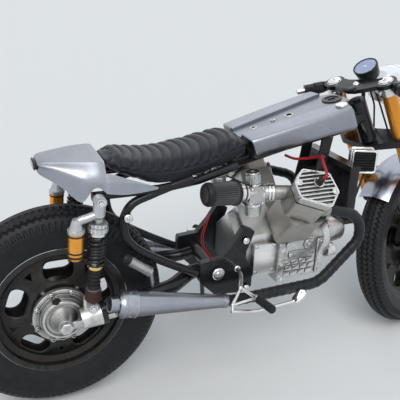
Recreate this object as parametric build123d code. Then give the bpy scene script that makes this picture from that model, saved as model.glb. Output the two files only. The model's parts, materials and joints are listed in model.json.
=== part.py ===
from build123d import *
import json
import math
import os

# A cafe racer motorcycle with a transverse V engine and shaft drive, in millimetres.
# It is drawn upright: X forward from the rear axle, Y to the left, Z up from the ground.
# At the end it leans on its side stand, with the steering on its left stop.

# Chassis: the driving dimensions
WHEELBASE = 1463.0
RAKE = 26.5
TRAIL = 100.0
LEAN = 6.45
STEER_STOP = 22.0
FIT = 0.3
RUNNING_GAP = 6.0

# Wheels
REAR_TYRE_R = 343.0
REAR_TYRE_W = 130.0
REAR_RIM_R = 216.0
REAR_RIM_W = 96.0
FRONT_TYRE_R = 342.0
FRONT_TYRE_W = 108.0
FRONT_RIM_R = 255.0
FRONT_RIM_W = 70.0
BEAD_DEPTH = 13.0
TYRE_WALL = 9.0
RIM_WALL = 5.0
RIM_WELL = 17.0
SPOKE_COUNT = 5
SPOKE_PLATE = 5.0
REAR_HUB_R = 84.0
FRONT_HUB_R = 46.0
HUB_HALF = 46.0
AXLE_R = 10.0

# Steering head and fork, measured along the steering axis from where it meets the ground
HEAD_LOW = 905.0
HEAD_HIGH = 1072.0
HEAD_R = 31.0
STEM_R = 14.0
LEG_OFFSET = 45.0
LEG_HALF = 105.0
LEG_TOP = 1118.0
UPPER_R = 27.0
UPPER_LOW = 590.0
LOWER_R = 21.0
CLAMP_LOW = 868.0
CLAMP_HIGH = 1078.0
CLAMP_T = 26.0
BAR_R = 11.1
BAR_BORE_R = 9.0
BAR_LENGTH = 175.0

# Frame tubes
RAIL_R = 13.5
RAIL_Y = 106.0
SPINE_R = 32.0
PLATE_T = 24.0
PIVOT = (508.0, 425.0)
PIVOT_R = 20.0
ARM_R = 25.0

# Seat: station X, half width, lower edge, side height, crown height
SEAT_STATIONS = [
    (138.0, 58.0, 824.0, 834.0, 847.0),
    (180.0, 108.0, 800.0, 818.0, 848.0),
    (300.0, 122.0, 760.0, 800.0, 838.0),
    (431.0, 125.0, 775.0, 815.0, 852.0),
    (562.0, 112.0, 811.0, 848.0, 880.0),
    (598.0, 98.0, 830.0, 862.0, 887.0),
]

# Tail cowl: station X, half width at the top, half width below, top, shoulder, lower edge
COWL_STATIONS = [
    (-52.0, 40.0, 46.0, 846.0, 828.0, 806.0),
    (14.0, 66.0, 92.0, 849.0, 818.0, 775.0),
    (70.0, 84.0, 122.0, 850.0, 800.0, 732.0),
    (128.0, 94.0, 127.0, 850.0, 800.0, 738.0),
]
COWL_WALL = 2.5
TONGUE_LOW = 746.0
COWL_ARCH_R = 30.0

# Tank lobes: rear and front stations on planes that lean back
TANK_TILT = 25.0
TANK_RISE = 0.2675
PLATE_Z_600 = 867.0
LOBE_STEP = 11.0
# station X at the top, inner Y, outer Y, depth below the top
LOBE_STATIONS = [
    (604.0, 34.0, 114.0, 82.0),
    (789.0, 51.0, 129.0, 92.0),
    (974.0, 68.0, 130.0, 104.0),
]
LOBE_CORNER = 26.0
LOBE_BELLY = 34.0
TANK_SHEET = 3.0

# Engine
CRANK_Z = 450.0
V_ANGLE = 40.0
CYL_X = 775.0
CYL_STAGGER = 22.0
CASE_HALF = 92.0
FRONT_CASE_HALF = 122.0
CASE_LOW = 360.0
CYL_LOW = 120.0
HEAD_LOW_L = 262.0
COVER_L = 350.0
COVER_T = 44.0
# Outline of the head cover seen along the cylinder, X and up the slope
COVER_OUTLINE = [(-83, 30), (-37, 74), (56, 48), (62, -22), (13, -73), (-84, -28)]

# Exhaust
HEADER_R = 20.0
HEADER_ROUTE = [
    (846.0, -208.0, 652.0),
    (1012.0, -206.0, 616.0),
    (1046.0, -203.0, 540.0),
    (960.0, -194.0, 446.0),
    (760.0, -180.0, 386.0),
]
HEADER_BENDS = [42.0, 60.0, 90.0, 240.0, 90.0]
SILENCER_FRONT = (503.0, -194.0, 361.0)
SILENCER_REAR = (128.0, -224.0, 447.0)
SILENCER_R = 50.0

# Rear shocks
SHOCK_Y = 160.0
SHOCK_TOP = (103.0, 750.0)
SHOCK_LOW = (76.0, 414.0)

# Engine hangers
HANGER_X = 940.0
HANGER_Y = 50.0
HANGER_T = 8.0

# Derived places
SIN_R = math.sin(math.radians(RAKE))
COS_R = math.cos(math.radians(RAKE))
STEER_FOOT = Vector(WHEELBASE + TRAIL, 0, 0)
STEER_UP = Vector(-SIN_R, 0, COS_R)
STEER_FORE = Vector(COS_R, 0, SIN_R)
RAKE_PLANE = Plane(origin=STEER_FOOT, x_dir=STEER_FORE, z_dir=STEER_UP)
STEER_AXIS = Axis(STEER_FOOT, STEER_UP)


def steer_point(along, fore, left):
    """A point given along the steering axis, forward of it and to its left."""
    return STEER_FOOT + STEER_UP * along + STEER_FORE * fore + Vector(0, left, 0)


def rod(start, end, radius, end_radius=None, bore=0.0):
    """Straight round bar between two points, tapered or bored when asked."""
    start = Vector(*start)
    run = Vector(*end) - start
    plane = Plane(origin=start, z_dir=run)
    low = (Align.CENTER, Align.CENTER, Align.MIN)
    if end_radius is None:
        bar = Cylinder(radius, run.length, align=low)
    else:
        bar = Cone(radius, end_radius, run.length, align=low)
    if bore:
        bar -= Cylinder(bore, run.length, align=low)
    return plane * bar


def bent_tube(points, bends, radius):
    """Round tube along straight runs joined by arcs."""
    path = FilletPolyline(*points, radius=bends)
    ring = Plane(origin=path @ 0, z_dir=path % 0) * Circle(radius)
    return sweep(ring, path=path)


def turned(profile, centre=(0, 0, 0)):
    """Solid turned about an axle: the profile is a list of (Y, radius)."""
    face = Plane.YZ * make_face(Polyline(*profile, close=True))
    return Pos(*centre) * revolve(face, axis=Axis.Y)


def turned_between(start, end, profile):
    """Solid turned about a line: the profile is a list of (distance from start, radius)."""
    start = Vector(*start)
    plane = Plane(origin=start, z_dir=Vector(*end) - start)
    points = [(radius, along) for along, radius in profile]
    face = Plane.XZ * make_face(Polyline(*points, close=True))
    return plane * revolve(face, axis=Axis.Z)


def slab(outline, y_low, y_high, corner=0.0):
    """Plate whose side view is the outline of (X, Z) points, between two Y values."""
    face = make_face(Polyline(*outline, close=True))
    if corner:
        face = fillet(face.vertices(), corner)
    plate = extrude(Plane.XZ * face, amount=-(y_high - y_low))
    return Pos(0, y_low, 0) * plate


def block(low, high):
    """Box between two corners."""
    size = [h - l for l, h in zip(low, high)]
    middle = [(h + l) / 2 for l, h in zip(low, high)]
    return Pos(*middle) * Box(*size)


def both(shape):
    """The piece and its mirror image across the centreline."""
    return [shape, mirror(shape, about=Plane.XZ)]


# Wheels


def tyre(radius, width, rim_r, rim_w):
    """Round-crowned tyre with its beads on the rim."""
    crown = width / 2
    crown_z = radius - crown
    bead_y = rim_w / 2 - RIM_WALL - FIT
    seat_z = rim_r - BEAD_DEPTH + FIT
    flank_z = rim_r + 4
    inner_y = crown - TYRE_WALL
    bead_in = bead_y - TYRE_WALL

    def half_arc(y, low_y, sign):
        middle = (sign * (low_y + (y - low_y) * 0.72), flank_z + (crown_z - flank_z) * 0.45)
        return ThreePointArc((sign * low_y, flank_z), middle, (sign * y, crown_z))

    edges = [
        Line((-bead_y, seat_z), (-bead_y, flank_z)),
        half_arc(crown, bead_y, -1),
        ThreePointArc((-crown, crown_z), (0, radius), (crown, crown_z)),
        half_arc(crown, bead_y, 1),
        Line((bead_y, flank_z), (bead_y, seat_z)),
        Line((bead_y, seat_z), (bead_in, seat_z)),
        Line((bead_in, seat_z), (bead_in, flank_z)),
        half_arc(inner_y, bead_in, 1),
        ThreePointArc((inner_y, crown_z), (0, radius - TYRE_WALL), (-inner_y, crown_z)),
        half_arc(inner_y, bead_in, -1),
        Line((-bead_in, flank_z), (-bead_in, seat_z)),
        Line((-bead_in, seat_z), (-bead_y, seat_z)),
    ]
    return revolve(Plane.YZ * make_face(edges), axis=Axis.Y)


def rim(rim_r, rim_w):
    """Channel rim with flanges, bead seats and a well."""
    half = rim_w / 2
    seat = rim_r - BEAD_DEPTH
    well = seat - RIM_WELL
    outer = [
        (-half, rim_r),
        (-half + RIM_WALL, rim_r),
        (-half + RIM_WALL, seat),
        (-half * 0.55, seat),
        (-half * 0.35, well),
        (half * 0.35, well),
        (half * 0.55, seat),
        (half - RIM_WALL, seat),
        (half - RIM_WALL, rim_r),
        (half, rim_r),
    ]
    inner = [
        (half, seat - RIM_WALL),
        (half * 0.6, seat - RIM_WALL),
        (half * 0.4, well - RIM_WALL),
        (-half * 0.4, well - RIM_WALL),
        (-half * 0.6, seat - RIM_WALL),
        (-half, seat - RIM_WALL),
    ]
    return turned(outer + inner)


def spoke_star(hub_r, rim_r, rim_w):
    """Two dished five-spoke plates, cut with large windows and small holes."""
    outer_r = rim_r - BEAD_DEPTH - RIM_WELL - RIM_WALL + 1
    outer_y = rim_w / 2 * 0.4 - 2
    inner_y = HUB_HALF - 2
    inner_r = hub_r - 3
    plates = []
    for side in (-1, 1):
        profile = [
            (side * inner_y, inner_r),
            (side * inner_y, hub_r + 12),
            (side * outer_y, outer_r),
            (side * (outer_y - SPOKE_PLATE), outer_r),
            (side * (inner_y - SPOKE_PLATE), hub_r + 12),
            (side * (inner_y - SPOKE_PLATE), inner_r),
        ]
        plates.append(turned(profile))
    step = 360 / SPOKE_COUNT
    window_in = hub_r + 22
    window_out = outer_r - 12
    middle = (window_in + window_out) / 2
    band = window_out - window_in
    wide = middle * 0.72
    window = Pos(middle, 0) * RectangleRounded(band, wide, min(band, wide) * 0.44)
    window &= Circle(window_out) - Circle(window_in)
    hole = Rot(0, 0, step / 2) * Pos(window_out - 16, 0) * RegularPolygon(15, 3, rotation=180)
    cutter = Sketch()
    for index in range(SPOKE_COUNT):
        cutter += Rot(0, 0, index * step + 18) * window
        cutter += Rot(0, 0, index * step + 18) * hole
    tool = extrude(Plane.XZ * cutter, amount=rim_w, both=True)
    return [plate - tool for plate in plates]


def wheel_rim(hub_r, rim_r, rim_w):
    """Rim with its pressed spokes."""
    body = rim(rim_r, rim_w)
    for plate in spoke_star(hub_r, rim_r, rim_w):
        body += plate
    return body


def hub(hub_r):
    """Barrel hub with flanges that the spoke plates bolt to."""
    half = HUB_HALF
    profile = [
        (-half - 4, AXLE_R + FIT),
        (-half - 4, AXLE_R + 16),
        (-half, AXLE_R + 20),
        (-half, hub_r - 3 - FIT),
        (-half + 12, hub_r - 3 - FIT),
        (-half + 22, hub_r * 0.8),
        (half - 22, hub_r * 0.8),
        (half - 12, hub_r - 3 - FIT),
        (half, hub_r - 3 - FIT),
        (half, AXLE_R + 20),
        (half + 4, AXLE_R + 16),
        (half + 4, AXLE_R + FIT),
    ]
    return turned(profile)


def rear_wheel():
    place = Pos(0, 0, REAR_TYRE_R)
    return {
        "rear_tyre": [place * tyre(REAR_TYRE_R, REAR_TYRE_W, REAR_RIM_R, REAR_RIM_W)],
        "rear_rim": [place * wheel_rim(REAR_HUB_R, REAR_RIM_R, REAR_RIM_W)],
        "rear_hub": [place * hub(REAR_HUB_R)],
    }


DISC_R = 148.0
DISC_T = 5.0
DISC_Y = HUB_HALF + 12.0
AXLE_LUG_HALF = 22.0
LUG_R = 26.0
LUG_UP = 128.0


def brake_disc(side):
    """Drilled brake disc with its carrier, beside the front hub."""
    y_in = side * (DISC_Y - DISC_T / 2)
    y_out = side * (DISC_Y + DISC_T / 2)
    seat_y = side * (HUB_HALF + FIT)
    ring = turned([(y_in, DISC_R - 34), (y_in, DISC_R), (y_out, DISC_R), (y_out, DISC_R - 34)])
    bell = [
        (seat_y, AXLE_R + 22),
        (seat_y, FRONT_HUB_R - 6),
        (y_in, DISC_R - 33),
        (y_out, DISC_R - 33),
        (side * (HUB_HALF + 7), FRONT_HUB_R - 8),
        (side * (HUB_HALF + 7), AXLE_R + 22),
    ]
    disc = ring + turned(bell)
    holes = Sketch()
    for index in range(10):
        holes += Rot(0, 0, index * 36) * Pos(DISC_R - 17, 0) * SlotOverall(18, 8, rotation=60)
    return disc - extrude(Plane.XZ * holes, amount=DISC_Y * 2, both=True)


def front_wheel():
    place = Pos(WHEELBASE, 0, FRONT_TYRE_R)
    return {
        "front_tyre": [place * tyre(FRONT_TYRE_R, FRONT_TYRE_W, FRONT_RIM_R, FRONT_RIM_W)],
        "front_rim": [place * wheel_rim(FRONT_HUB_R, FRONT_RIM_R, FRONT_RIM_W)],
        "front_hub": [place * hub(FRONT_HUB_R)],
        "brake_discs": [place * brake_disc(side) for side in (-1, 1)],
    }


# Steering assembly

AXLE_ALONG = (WHEELBASE - STEER_FOOT.X) * STEER_UP.X + FRONT_TYRE_R * STEER_UP.Z


def clamp_plate(along, fore_back, half, bore_r):
    """Fork clamp: a waisted plate across both legs, bored for them."""
    legs = Sketch()
    for side in (-1, 1):
        legs += Pos(LEG_OFFSET, side * LEG_HALF) * Circle(bore_r + 13)
    bridge = make_hull((legs + Pos(fore_back, 0) * Circle(34)).edges())
    bores = Sketch()
    for side in (-1, 1):
        bores += Pos(LEG_OFFSET, side * LEG_HALF) * Circle(bore_r + FIT)
    sketch = bridge - bores
    return RAKE_PLANE * Pos(0, 0, along) * extrude(sketch, amount=half)


def top_clamp():
    plate = clamp_plate(CLAMP_HIGH, 6, CLAMP_T, UPPER_R)
    nut = rod(steer_point(CLAMP_HIGH + CLAMP_T, 0, 0), steer_point(CLAMP_HIGH + CLAMP_T + 16, 0, 0), 17)
    return plate + nut


def lower_clamp():
    plate = clamp_plate(CLAMP_LOW, 6, CLAMP_T, UPPER_R)
    stem = rod(
        steer_point(CLAMP_LOW + CLAMP_T - 1, 0, 0),
        steer_point(CLAMP_HIGH - FIT, 0, 0),
        STEM_R,
    )
    return plate + stem


def fork_upper(side):
    """Gold outer tube of an upside-down fork leg, with its cap."""
    y = side * LEG_HALF
    tube = rod(steer_point(UPPER_LOW, LEG_OFFSET, y), steer_point(LEG_TOP - 8, LEG_OFFSET, y), UPPER_R)
    collar = rod(
        steer_point(UPPER_LOW - 16, LEG_OFFSET, y), steer_point(UPPER_LOW, LEG_OFFSET, y), UPPER_R + 2
    )
    cap = rod(steer_point(LEG_TOP - 8, LEG_OFFSET, y), steer_point(LEG_TOP, LEG_OFFSET, y), 22)
    return tube + collar + cap


def fork_lower(side):
    """Bright inner tube with the cast lug that holds the axle."""
    y = side * LEG_HALF
    tube = rod(
        steer_point(AXLE_ALONG + 30, LEG_OFFSET, y),
        steer_point(UPPER_LOW - 16 - FIT, LEG_OFFSET, y),
        LOWER_R,
    )
    lug = rod(
        steer_point(AXLE_ALONG - 12, LEG_OFFSET, y), steer_point(AXLE_ALONG + LUG_UP, LEG_OFFSET, y), LUG_R
    )
    eye_half = AXLE_LUG_HALF
    eye = rod(
        (WHEELBASE, y - eye_half, FRONT_TYRE_R), (WHEELBASE, y + eye_half, FRONT_TYRE_R), 26
    )
    bore = rod(
        (WHEELBASE, y - 60, FRONT_TYRE_R), (WHEELBASE, y + 60, FRONT_TYRE_R), AXLE_R + FIT
    )
    return tube + lug + eye - bore


def front_axle():
    end = LEG_HALF + AXLE_LUG_HALF + 4
    axle = rod((WHEELBASE, -end, FRONT_TYRE_R), (WHEELBASE, end, FRONT_TYRE_R), AXLE_R)
    spacers = []
    for side in (-1, 1):
        inner = side * (HUB_HALF + 8)
        outer = side * (LEG_HALF - LUG_R - FIT)
        spacers.append(
            rod((WHEELBASE, inner, FRONT_TYRE_R), (WHEELBASE, outer, FRONT_TYRE_R), AXLE_R + 5)
        )
    for spacer in spacers:
        axle += spacer
    return axle


FENDER_R = FRONT_TYRE_R + 30.0
FENDER_HALF = 64.0
FENDER_T = 2.5
FENDER_FRONT = 70.0
FENDER_REAR = 140.0
FENDER_TURN = 90.0 - FENDER_REAR
FENDER_STAY_ANGLE = 112.0
FENDER_STAY_R = 5.0


def front_fender():
    """Short sheet fender over the rear of the front tyre, crowned across."""
    half = FENDER_HALF
    edge = FENDER_R - 22
    outer = ThreePointArc((-half, edge), (0, FENDER_R + FENDER_T), (half, edge))
    inner = ThreePointArc((half - FENDER_T, edge), (0, FENDER_R), (-half + FENDER_T, edge))
    face = make_face(
        [
            outer,
            Line((half, edge), (half - FENDER_T, edge)),
            inner,
            Line((-half + FENDER_T, edge), (-half, edge)),
        ]
    )
    sheet = revolve(Plane.YZ * face, axis=Axis.Y, revolution_arc=FENDER_REAR - FENDER_FRONT)
    # The revolve starts at the top of the wheel and is turned to the front edge's angle
    sheet = Rot(0, FENDER_TURN, 0) * sheet
    sheet = Pos(WHEELBASE, 0, FRONT_TYRE_R) * sheet
    # A stay on each side runs down to the fork lug's inner face
    angle = math.radians(FENDER_STAY_ANGLE)
    for side in (-1, 1):
        high = Vector(
            WHEELBASE + (edge + 4) * math.cos(angle),
            side * (half - 1),
            FRONT_TYRE_R + (edge + 4) * math.sin(angle),
        )
        low = steer_point(
            AXLE_ALONG + LUG_UP - 30, LEG_OFFSET, side * (LEG_HALF - LUG_R - FENDER_STAY_R - FIT)
        )
        seat_end = low - (high - low).normalized() * 16
        sheet += rod(seat_end, high, FENDER_STAY_R)
    return sheet


GAUGE_R = 27.0


def gauge():
    """Round black instrument cup on a stalk from the top clamp."""
    foot = steer_point(CLAMP_HIGH + CLAMP_T + FIT, 68, 0)
    base = steer_point(CLAMP_HIGH + CLAMP_T + 12, 68, 0)
    return rod(foot, base, 7) + rod(base, base + Vector(-10, 0, 52), GAUGE_R - 2, GAUGE_R)


HEADLAMP_R = 76.0


def headlamp():
    """Round headlamp shell in front of the fork."""
    front = steer_point(1000, 235, 0)
    back = front - Vector(110, 0, 0)
    profile = [
        (0, 0),
        (0, 30),
        (22, 58),
        (60, HEADLAMP_R - 4),
        (96, HEADLAMP_R),
        (110, HEADLAMP_R),
        (112, HEADLAMP_R - 8),
        (122, 40),
        (125, 0),
    ]
    shell = turned_between(back, front, profile)
    for side in (-1, 1):
        tip = steer_point(LAMP_ALONG, LAMP_FORE, side * (HEADLAMP_R + 2))
        shell += rod(steer_point(LAMP_ALONG, LAMP_FORE, side * (HEADLAMP_R - 16)), tip, 9)
    return shell


LAMP_ALONG = 1000.0
LAMP_FORE = 200.0


def lamp_ears():
    """Brackets from the fork tubes to the headlamp shell."""
    ears = []
    for side in (-1, 1):
        ring = extrude(Circle(UPPER_R + 6) - Circle(UPPER_R + FIT), amount=30)
        ring = RAKE_PLANE * Pos(LEG_OFFSET, side * LEG_HALF, LAMP_ALONG - 15) * ring
        y = side * (HEADLAMP_R + 14)
        start = steer_point(LAMP_ALONG, LEG_OFFSET + UPPER_R + 2, side * (LEG_HALF - 4))
        end = steer_point(LAMP_ALONG, LAMP_FORE, y)
        tip = steer_point(LAMP_ALONG, LAMP_FORE, side * (HEADLAMP_R + 2 + FIT))
        ears.append(ring + rod(start, end, 7) + rod(end, tip, 9) + Pos(*end) * Sphere(9))
    return ears


BAR_ALONG = 1052.0
BAR_DIRECTION = Vector(-0.34, 0.93, -0.10).normalized()


def bar_line(side, distance):
    """A point on the handlebar, measured out from the fork leg."""
    start = steer_point(BAR_ALONG, LEG_OFFSET - 4, LEG_HALF)
    point = start + BAR_DIRECTION * distance
    return Vector(point.X, side * point.Y, point.Z)


def clip_on(side):
    """Clamp round the fork leg with a short open handlebar tube."""
    ring = RAKE_PLANE * Pos(LEG_OFFSET, side * LEG_HALF, BAR_ALONG - 16) * extrude(
        Circle(UPPER_R + 7) - Circle(UPPER_R + FIT), amount=CLAMP_HIGH - FIT - BAR_ALONG + 16
    )
    start = bar_line(side, UPPER_R + 4)
    end = bar_line(side, BAR_LENGTH)
    bar = rod(start, end, BAR_R)
    bore = rod(bar_line(side, UPPER_R + 24), end, BAR_BORE_R)
    return ring + bar - bore


def lever(side):
    """Perch round the bar with a short lever ahead of it."""
    inner = bar_line(side, 62)
    outer = bar_line(side, 96)
    perch = rod(inner, outer, BAR_R + 8, bore=BAR_R + FIT)
    fore = Vector(34, 0, -6)
    arm = rod(inner + fore * 0.48, inner + fore * 1.05, 9)
    blade = rod(inner + fore, bar_line(side, 180) + Vector(26, 0, -10), 6, 5)
    ball = Pos(*(bar_line(side, 180) + Vector(26, 0, -10))) * Sphere(8)
    return perch + arm + blade + ball


def caliper(side):
    """Brake caliper over the disc's rear edge, carried by the fork lug."""
    y = side * DISC_Y
    angle = math.radians(150)
    centre = Vector(
        WHEELBASE + (DISC_R - 18) * math.cos(angle), y, FRONT_TYRE_R + (DISC_R - 18) * math.sin(angle)
    )
    place = Pos(*centre) * Rot(0, 30, 0)
    body = place * Pos(-12, side * 4, 0) * Box(64, 52, 92)
    slot = place * Pos(8, 0, 0) * Box(76, 17, 110)
    inner_relief = place * Pos(20, -side * 30, 0) * Box(90, 30, 110)
    leg_y = side * LEG_HALF
    leg_room = rod(
        steer_point(AXLE_ALONG - 12, LEG_OFFSET, leg_y),
        steer_point(AXLE_ALONG + LUG_UP + 60, LEG_OFFSET, leg_y),
        LUG_R + FIT,
    )
    return body - slot - inner_relief - leg_room


def steering():
    return {
        "top_clamp": [top_clamp()],
        "lower_clamp": [lower_clamp()],
        "fork_uppers": [fork_upper(side) for side in (-1, 1)],
        "fork_lowers": [fork_lower(side) for side in (-1, 1)],
        "front_axle": [front_axle()],
        "front_fender": [front_fender()],
        "gauge": [gauge()],
        "headlamp": [headlamp()],
        "lamp_ears": lamp_ears(),
        "clip_ons": [clip_on(side) for side in (-1, 1)],
        "levers": [lever(side) for side in (-1, 1)],
        "brake_calipers": [caliper(side) for side in (-1, 1)],
    }


# Frame

SPINE_REAR = (545.0, 0.0, 768.0)
SPINE_FRONT_ALONG = 1010.0


def tank_plate_z(x):
    """Height of the tank's centre plate."""
    return PLATE_Z_600 + (x - 600) * TANK_RISE


def spine_z(x):
    """Height of the spine tube's centreline."""
    front = steer_point(SPINE_FRONT_ALONG, 0, 0)
    return SPINE_REAR[2] + (x - SPINE_REAR[0]) * (front.Z - SPINE_REAR[2]) / (front.X - SPINE_REAR[0])


def lobe_inner(x):
    """Half width between the tank lobes."""
    rear, front = LOBE_STATIONS[0], LOBE_STATIONS[-1]
    return rear[1] + (x - rear[0]) * (front[1] - rear[1]) / (front[0] - rear[0])


def deck_z(y):
    """Height of the crankcase deck that the cylinders stand on."""
    angle = math.radians(V_ANGLE)
    return CRANK_Z + (CYL_LOW - FIT) / math.cos(angle) - abs(y) * math.tan(angle)


def backbone():
    """Steering head tube and the large tube that runs back from it under the tank."""
    head = rod(steer_point(HEAD_LOW, 0, 0), steer_point(HEAD_HIGH, 0, 0), HEAD_R)
    spine = rod(SPINE_REAR, steer_point(SPINE_FRONT_ALONG, 0, 0), SPINE_R)
    bore = rod(steer_point(HEAD_LOW - 1, 0, 0), steer_point(HEAD_HIGH + 1, 0, 0), STEM_R + FIT)
    frame = head + spine
    # Cross bars: two that carry the tank, one for the engine hangers, one between the rails
    rail_bar_x = SPINE_REAR[0] + 8
    bars = [
        (656.0, spine_z(656.0), lobe_inner(640.0), 9.0),
        (952.0, spine_z(952.0) + 18, lobe_inner(936.0), 9.0),
        (HANGER_X, spine_z(HANGER_X) - 22, HANGER_Y - FIT, 12.0),
        (rail_bar_x, rail_end_z(), RAIL_Y - RAIL_R - FIT, 12.0),
    ]
    for x, z, half, radius in bars:
        frame += rod((x, -half, z), (x, half, z), radius)
    return frame - bore


RAIL_BEND = 100.0


def rail_z(index):
    """Height of the rail's centreline where it carries the seat."""
    return SEAT_STATIONS[index][2] - RAIL_R - 2 * FIT


def rail_end_z():
    """Height of the rail where the bar from the spine meets it."""
    low, high = SEAT_STATIONS[3], SEAT_STATIONS[4]
    slope = (high[2] - low[2]) / (high[0] - low[0])
    return rail_z(3) + slope * (SPINE_REAR[0] + 8 - low[0])


def seat_rail():
    """Upper rail under the seat, from the shock mount to the spine."""
    points = [
        (92.0, RAIL_Y, rail_z(2)),
        (SEAT_STATIONS[2][0], RAIL_Y, rail_z(2)),
        (SEAT_STATIONS[3][0], RAIL_Y, rail_z(3)),
        (SEAT_STATIONS[4][0], RAIL_Y, rail_z(4)),
    ]
    tube = bent_tube(points, [RAIL_BEND, RAIL_BEND], RAIL_R)
    pin = rod((SHOCK_TOP[0], RAIL_Y, SHOCK_TOP[1]), (SHOCK_TOP[0], SHOCK_Y + 20, SHOCK_TOP[1]), 8)
    return tube + pin


LOOP_ROUTE = [
    (285.0, 722.0),
    (196.0, 716.0),
    (196.0, 600.0),
    (437.0, 430.0),
]
LOOP_BENDS = [58.0, 90.0]


def rear_loop():
    """Lower frame tube that sweeps down behind the seat rail to the pivot plate."""
    points = [(x, RAIL_Y, z) for x, z in LOOP_ROUTE]
    points[0] = (LOOP_ROUTE[0][0], RAIL_Y, rail_z(2) - 2 * RAIL_R - FIT)
    return bent_tube(points, LOOP_BENDS, RAIL_R)


def pivot_plate():
    """Cast plate that holds the swingarm pivot and the rear of the engine."""
    outline = [
        (445, 470),
        (445, 400),
        (500, 345),
        (600, 334),
        (640, 350),
        (640, 420),
        (606, 470),
        (640, 560),
        (600, 580),
        (560, 520),
        (520, 475),
    ]
    low = RAIL_Y - PLATE_T / 2
    plate = slab(outline, low, low + PLATE_T, corner=9)
    cap = rod((PIVOT[0], low + 2, PIVOT[1]), (PIVOT[0], low + PLATE_T + 7, PIVOT[1]), 24)
    boss = rod((606, low + 2, 531), (606, low + PLATE_T + 6, 531), 13)
    lower_boss = rod((617, low + 2, 352), (617, low + PLATE_T + 8, 352), 13)
    return plate + cap + boss + lower_boss


def engine_hanger():
    """Plate from the spine down to the front of the engine."""
    top = spine_z(HANGER_X) - 8
    low = deck_z(HANGER_Y) + FIT
    outline = [
        (HANGER_X - 24, top),
        (HANGER_X + 20, top),
        (HANGER_X + 4, 760),
        (918, 600),
        (918, low),
        (876, low),
        (876, 600),
        (HANGER_X - 34, 760),
    ]
    return slab(outline, HANGER_Y, HANGER_Y + HANGER_T, corner=6)


# Swingarm and final drive

DRIVE_R = 92.0
DRIVE_IN = HUB_HALF + RUNNING_GAP


ARM_ROUTE = [(112.0, 112.0, 356.0), (350.0, 108.0, 398.0), (432.0, 62.0, 412.0)]
ARM_BENDS = [90.0, 70.0]


def arm_route(side):
    """Centreline of a swingarm leg, from the rear wheel to the pivot tube."""
    points = [(x, side * y, z) for x, y, z in ARM_ROUTE]
    last = points[-1]
    end_x = PIVOT[0] - PIVOT_R - 4 - FIT
    return points + [(end_x, last[1], last[2] + (end_x - last[0]) * 0.16)]


def shaft_tube():
    """Right leg of the swingarm, which holds the drive shaft."""
    points = arm_route(-1)
    start = Vector(*points[0])
    along = (Vector(*points[1]) - start).normalized()
    return bent_tube(points, ARM_BENDS, ARM_R) + rod(start, start + along * 16, 40)


def swingarm_left():
    """Left leg of the swingarm with the left axle plate and the shock's pin."""
    points = arm_route(1)
    points[0] = (66.0, points[0][1], points[0][2] - 8)
    leg = bent_tube(points, ARM_BENDS, ARM_R - 4)
    plate = slab([(-36, 318), (-36, 366), (70, 376), (70, 326)], 103, 121, corner=10)
    post = rod((SHOCK_LOW[0], 112, 350), (SHOCK_LOW[0], 112, SHOCK_LOW[1]), 15)
    pin = rod((SHOCK_LOW[0], 112, SHOCK_LOW[1]), (SHOCK_LOW[0], SHOCK_Y + 20, SHOCK_LOW[1]), 8)
    bore = rod((0, 90, REAR_TYRE_R), (0, 140, REAR_TYRE_R), AXLE_R + FIT)
    return leg + plate + post + pin - bore


def swingarm_pivot():
    """Cross tube of the swingarm, turning in the pivot plates."""
    low = RAIL_Y - PLATE_T / 2 - FIT
    return rod((PIVOT[0], -low, PIVOT[1]), (PIVOT[0], low, PIVOT[1]), PIVOT_R + 4)


def final_drive():
    """Ribbed bevel-gear housing on the right of the rear wheel."""
    profile = [
        (-DRIVE_IN, AXLE_R + FIT),
        (-DRIVE_IN, DRIVE_R - 8),
        (-DRIVE_IN - 6, DRIVE_R),
        (-DRIVE_IN - 20, DRIVE_R),
        (-DRIVE_IN - 24, DRIVE_R - 8),
        (-DRIVE_IN - 44, DRIVE_R - 20),
        (-DRIVE_IN - 56, 52),
        (-DRIVE_IN - 62, 34),
        (-DRIVE_IN - 84, 28),
        (-DRIVE_IN - 90, 22),
        (-DRIVE_IN - 90, AXLE_R + FIT),
    ]
    housing = turned(profile, centre=(0, 0, REAR_TYRE_R))
    joint = Vector(*arm_route(-1)[0])
    along = (Vector(*arm_route(-1)[1]) - joint).normalized()
    neck = rod(joint - along * 62, joint - along * FIT, 32, 39)
    lug = rod((SHOCK_LOW[0], -112, 372), (SHOCK_LOW[0], -112, SHOCK_LOW[1]), 18)
    pin = rod((SHOCK_LOW[0], -112, SHOCK_LOW[1]), (SHOCK_LOW[0], -SHOCK_Y - 20, SHOCK_LOW[1]), 8)
    bore = rod((0, -40, REAR_TYRE_R), (0, -190, REAR_TYRE_R), AXLE_R + FIT)
    body = housing + neck + lug + pin
    for index in range(12):
        angle = math.radians(index * 30 + 12)
        x = math.cos(angle)
        z = math.sin(angle)
        inner = (46 * x, -DRIVE_IN - 40, REAR_TYRE_R + 46 * z)
        outer = (82 * x, -DRIVE_IN - 22, REAR_TYRE_R + 82 * z)
        body += rod(inner, outer, 6)
    plug = rod((-20, -DRIVE_IN - 20, REAR_TYRE_R + 66), (-20, -DRIVE_IN - 50, REAR_TYRE_R + 66), 11)
    return body + plug - bore


def brake_panel():
    """Rear drum brake panel on the left, with its arm."""
    profile = [
        (DRIVE_IN, AXLE_R + FIT),
        (DRIVE_IN, REAR_HUB_R - 2),
        (DRIVE_IN + 8, REAR_HUB_R),
        (DRIVE_IN + 18, REAR_HUB_R - 10),
        (DRIVE_IN + 30, 40),
        (DRIVE_IN + 50, 26),
        (DRIVE_IN + 50, AXLE_R + FIT),
    ]
    panel = turned(profile, centre=(0, 0, REAR_TYRE_R))
    arm = slab([(20, 262), (34, 262), (44, 300), (26, 302)], DRIVE_IN + 24, DRIVE_IN + 31, corner=4)
    post = rod((34, DRIVE_IN + 6, 292), (34, DRIVE_IN + 25, 292), 9)
    return panel + post + arm


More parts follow.
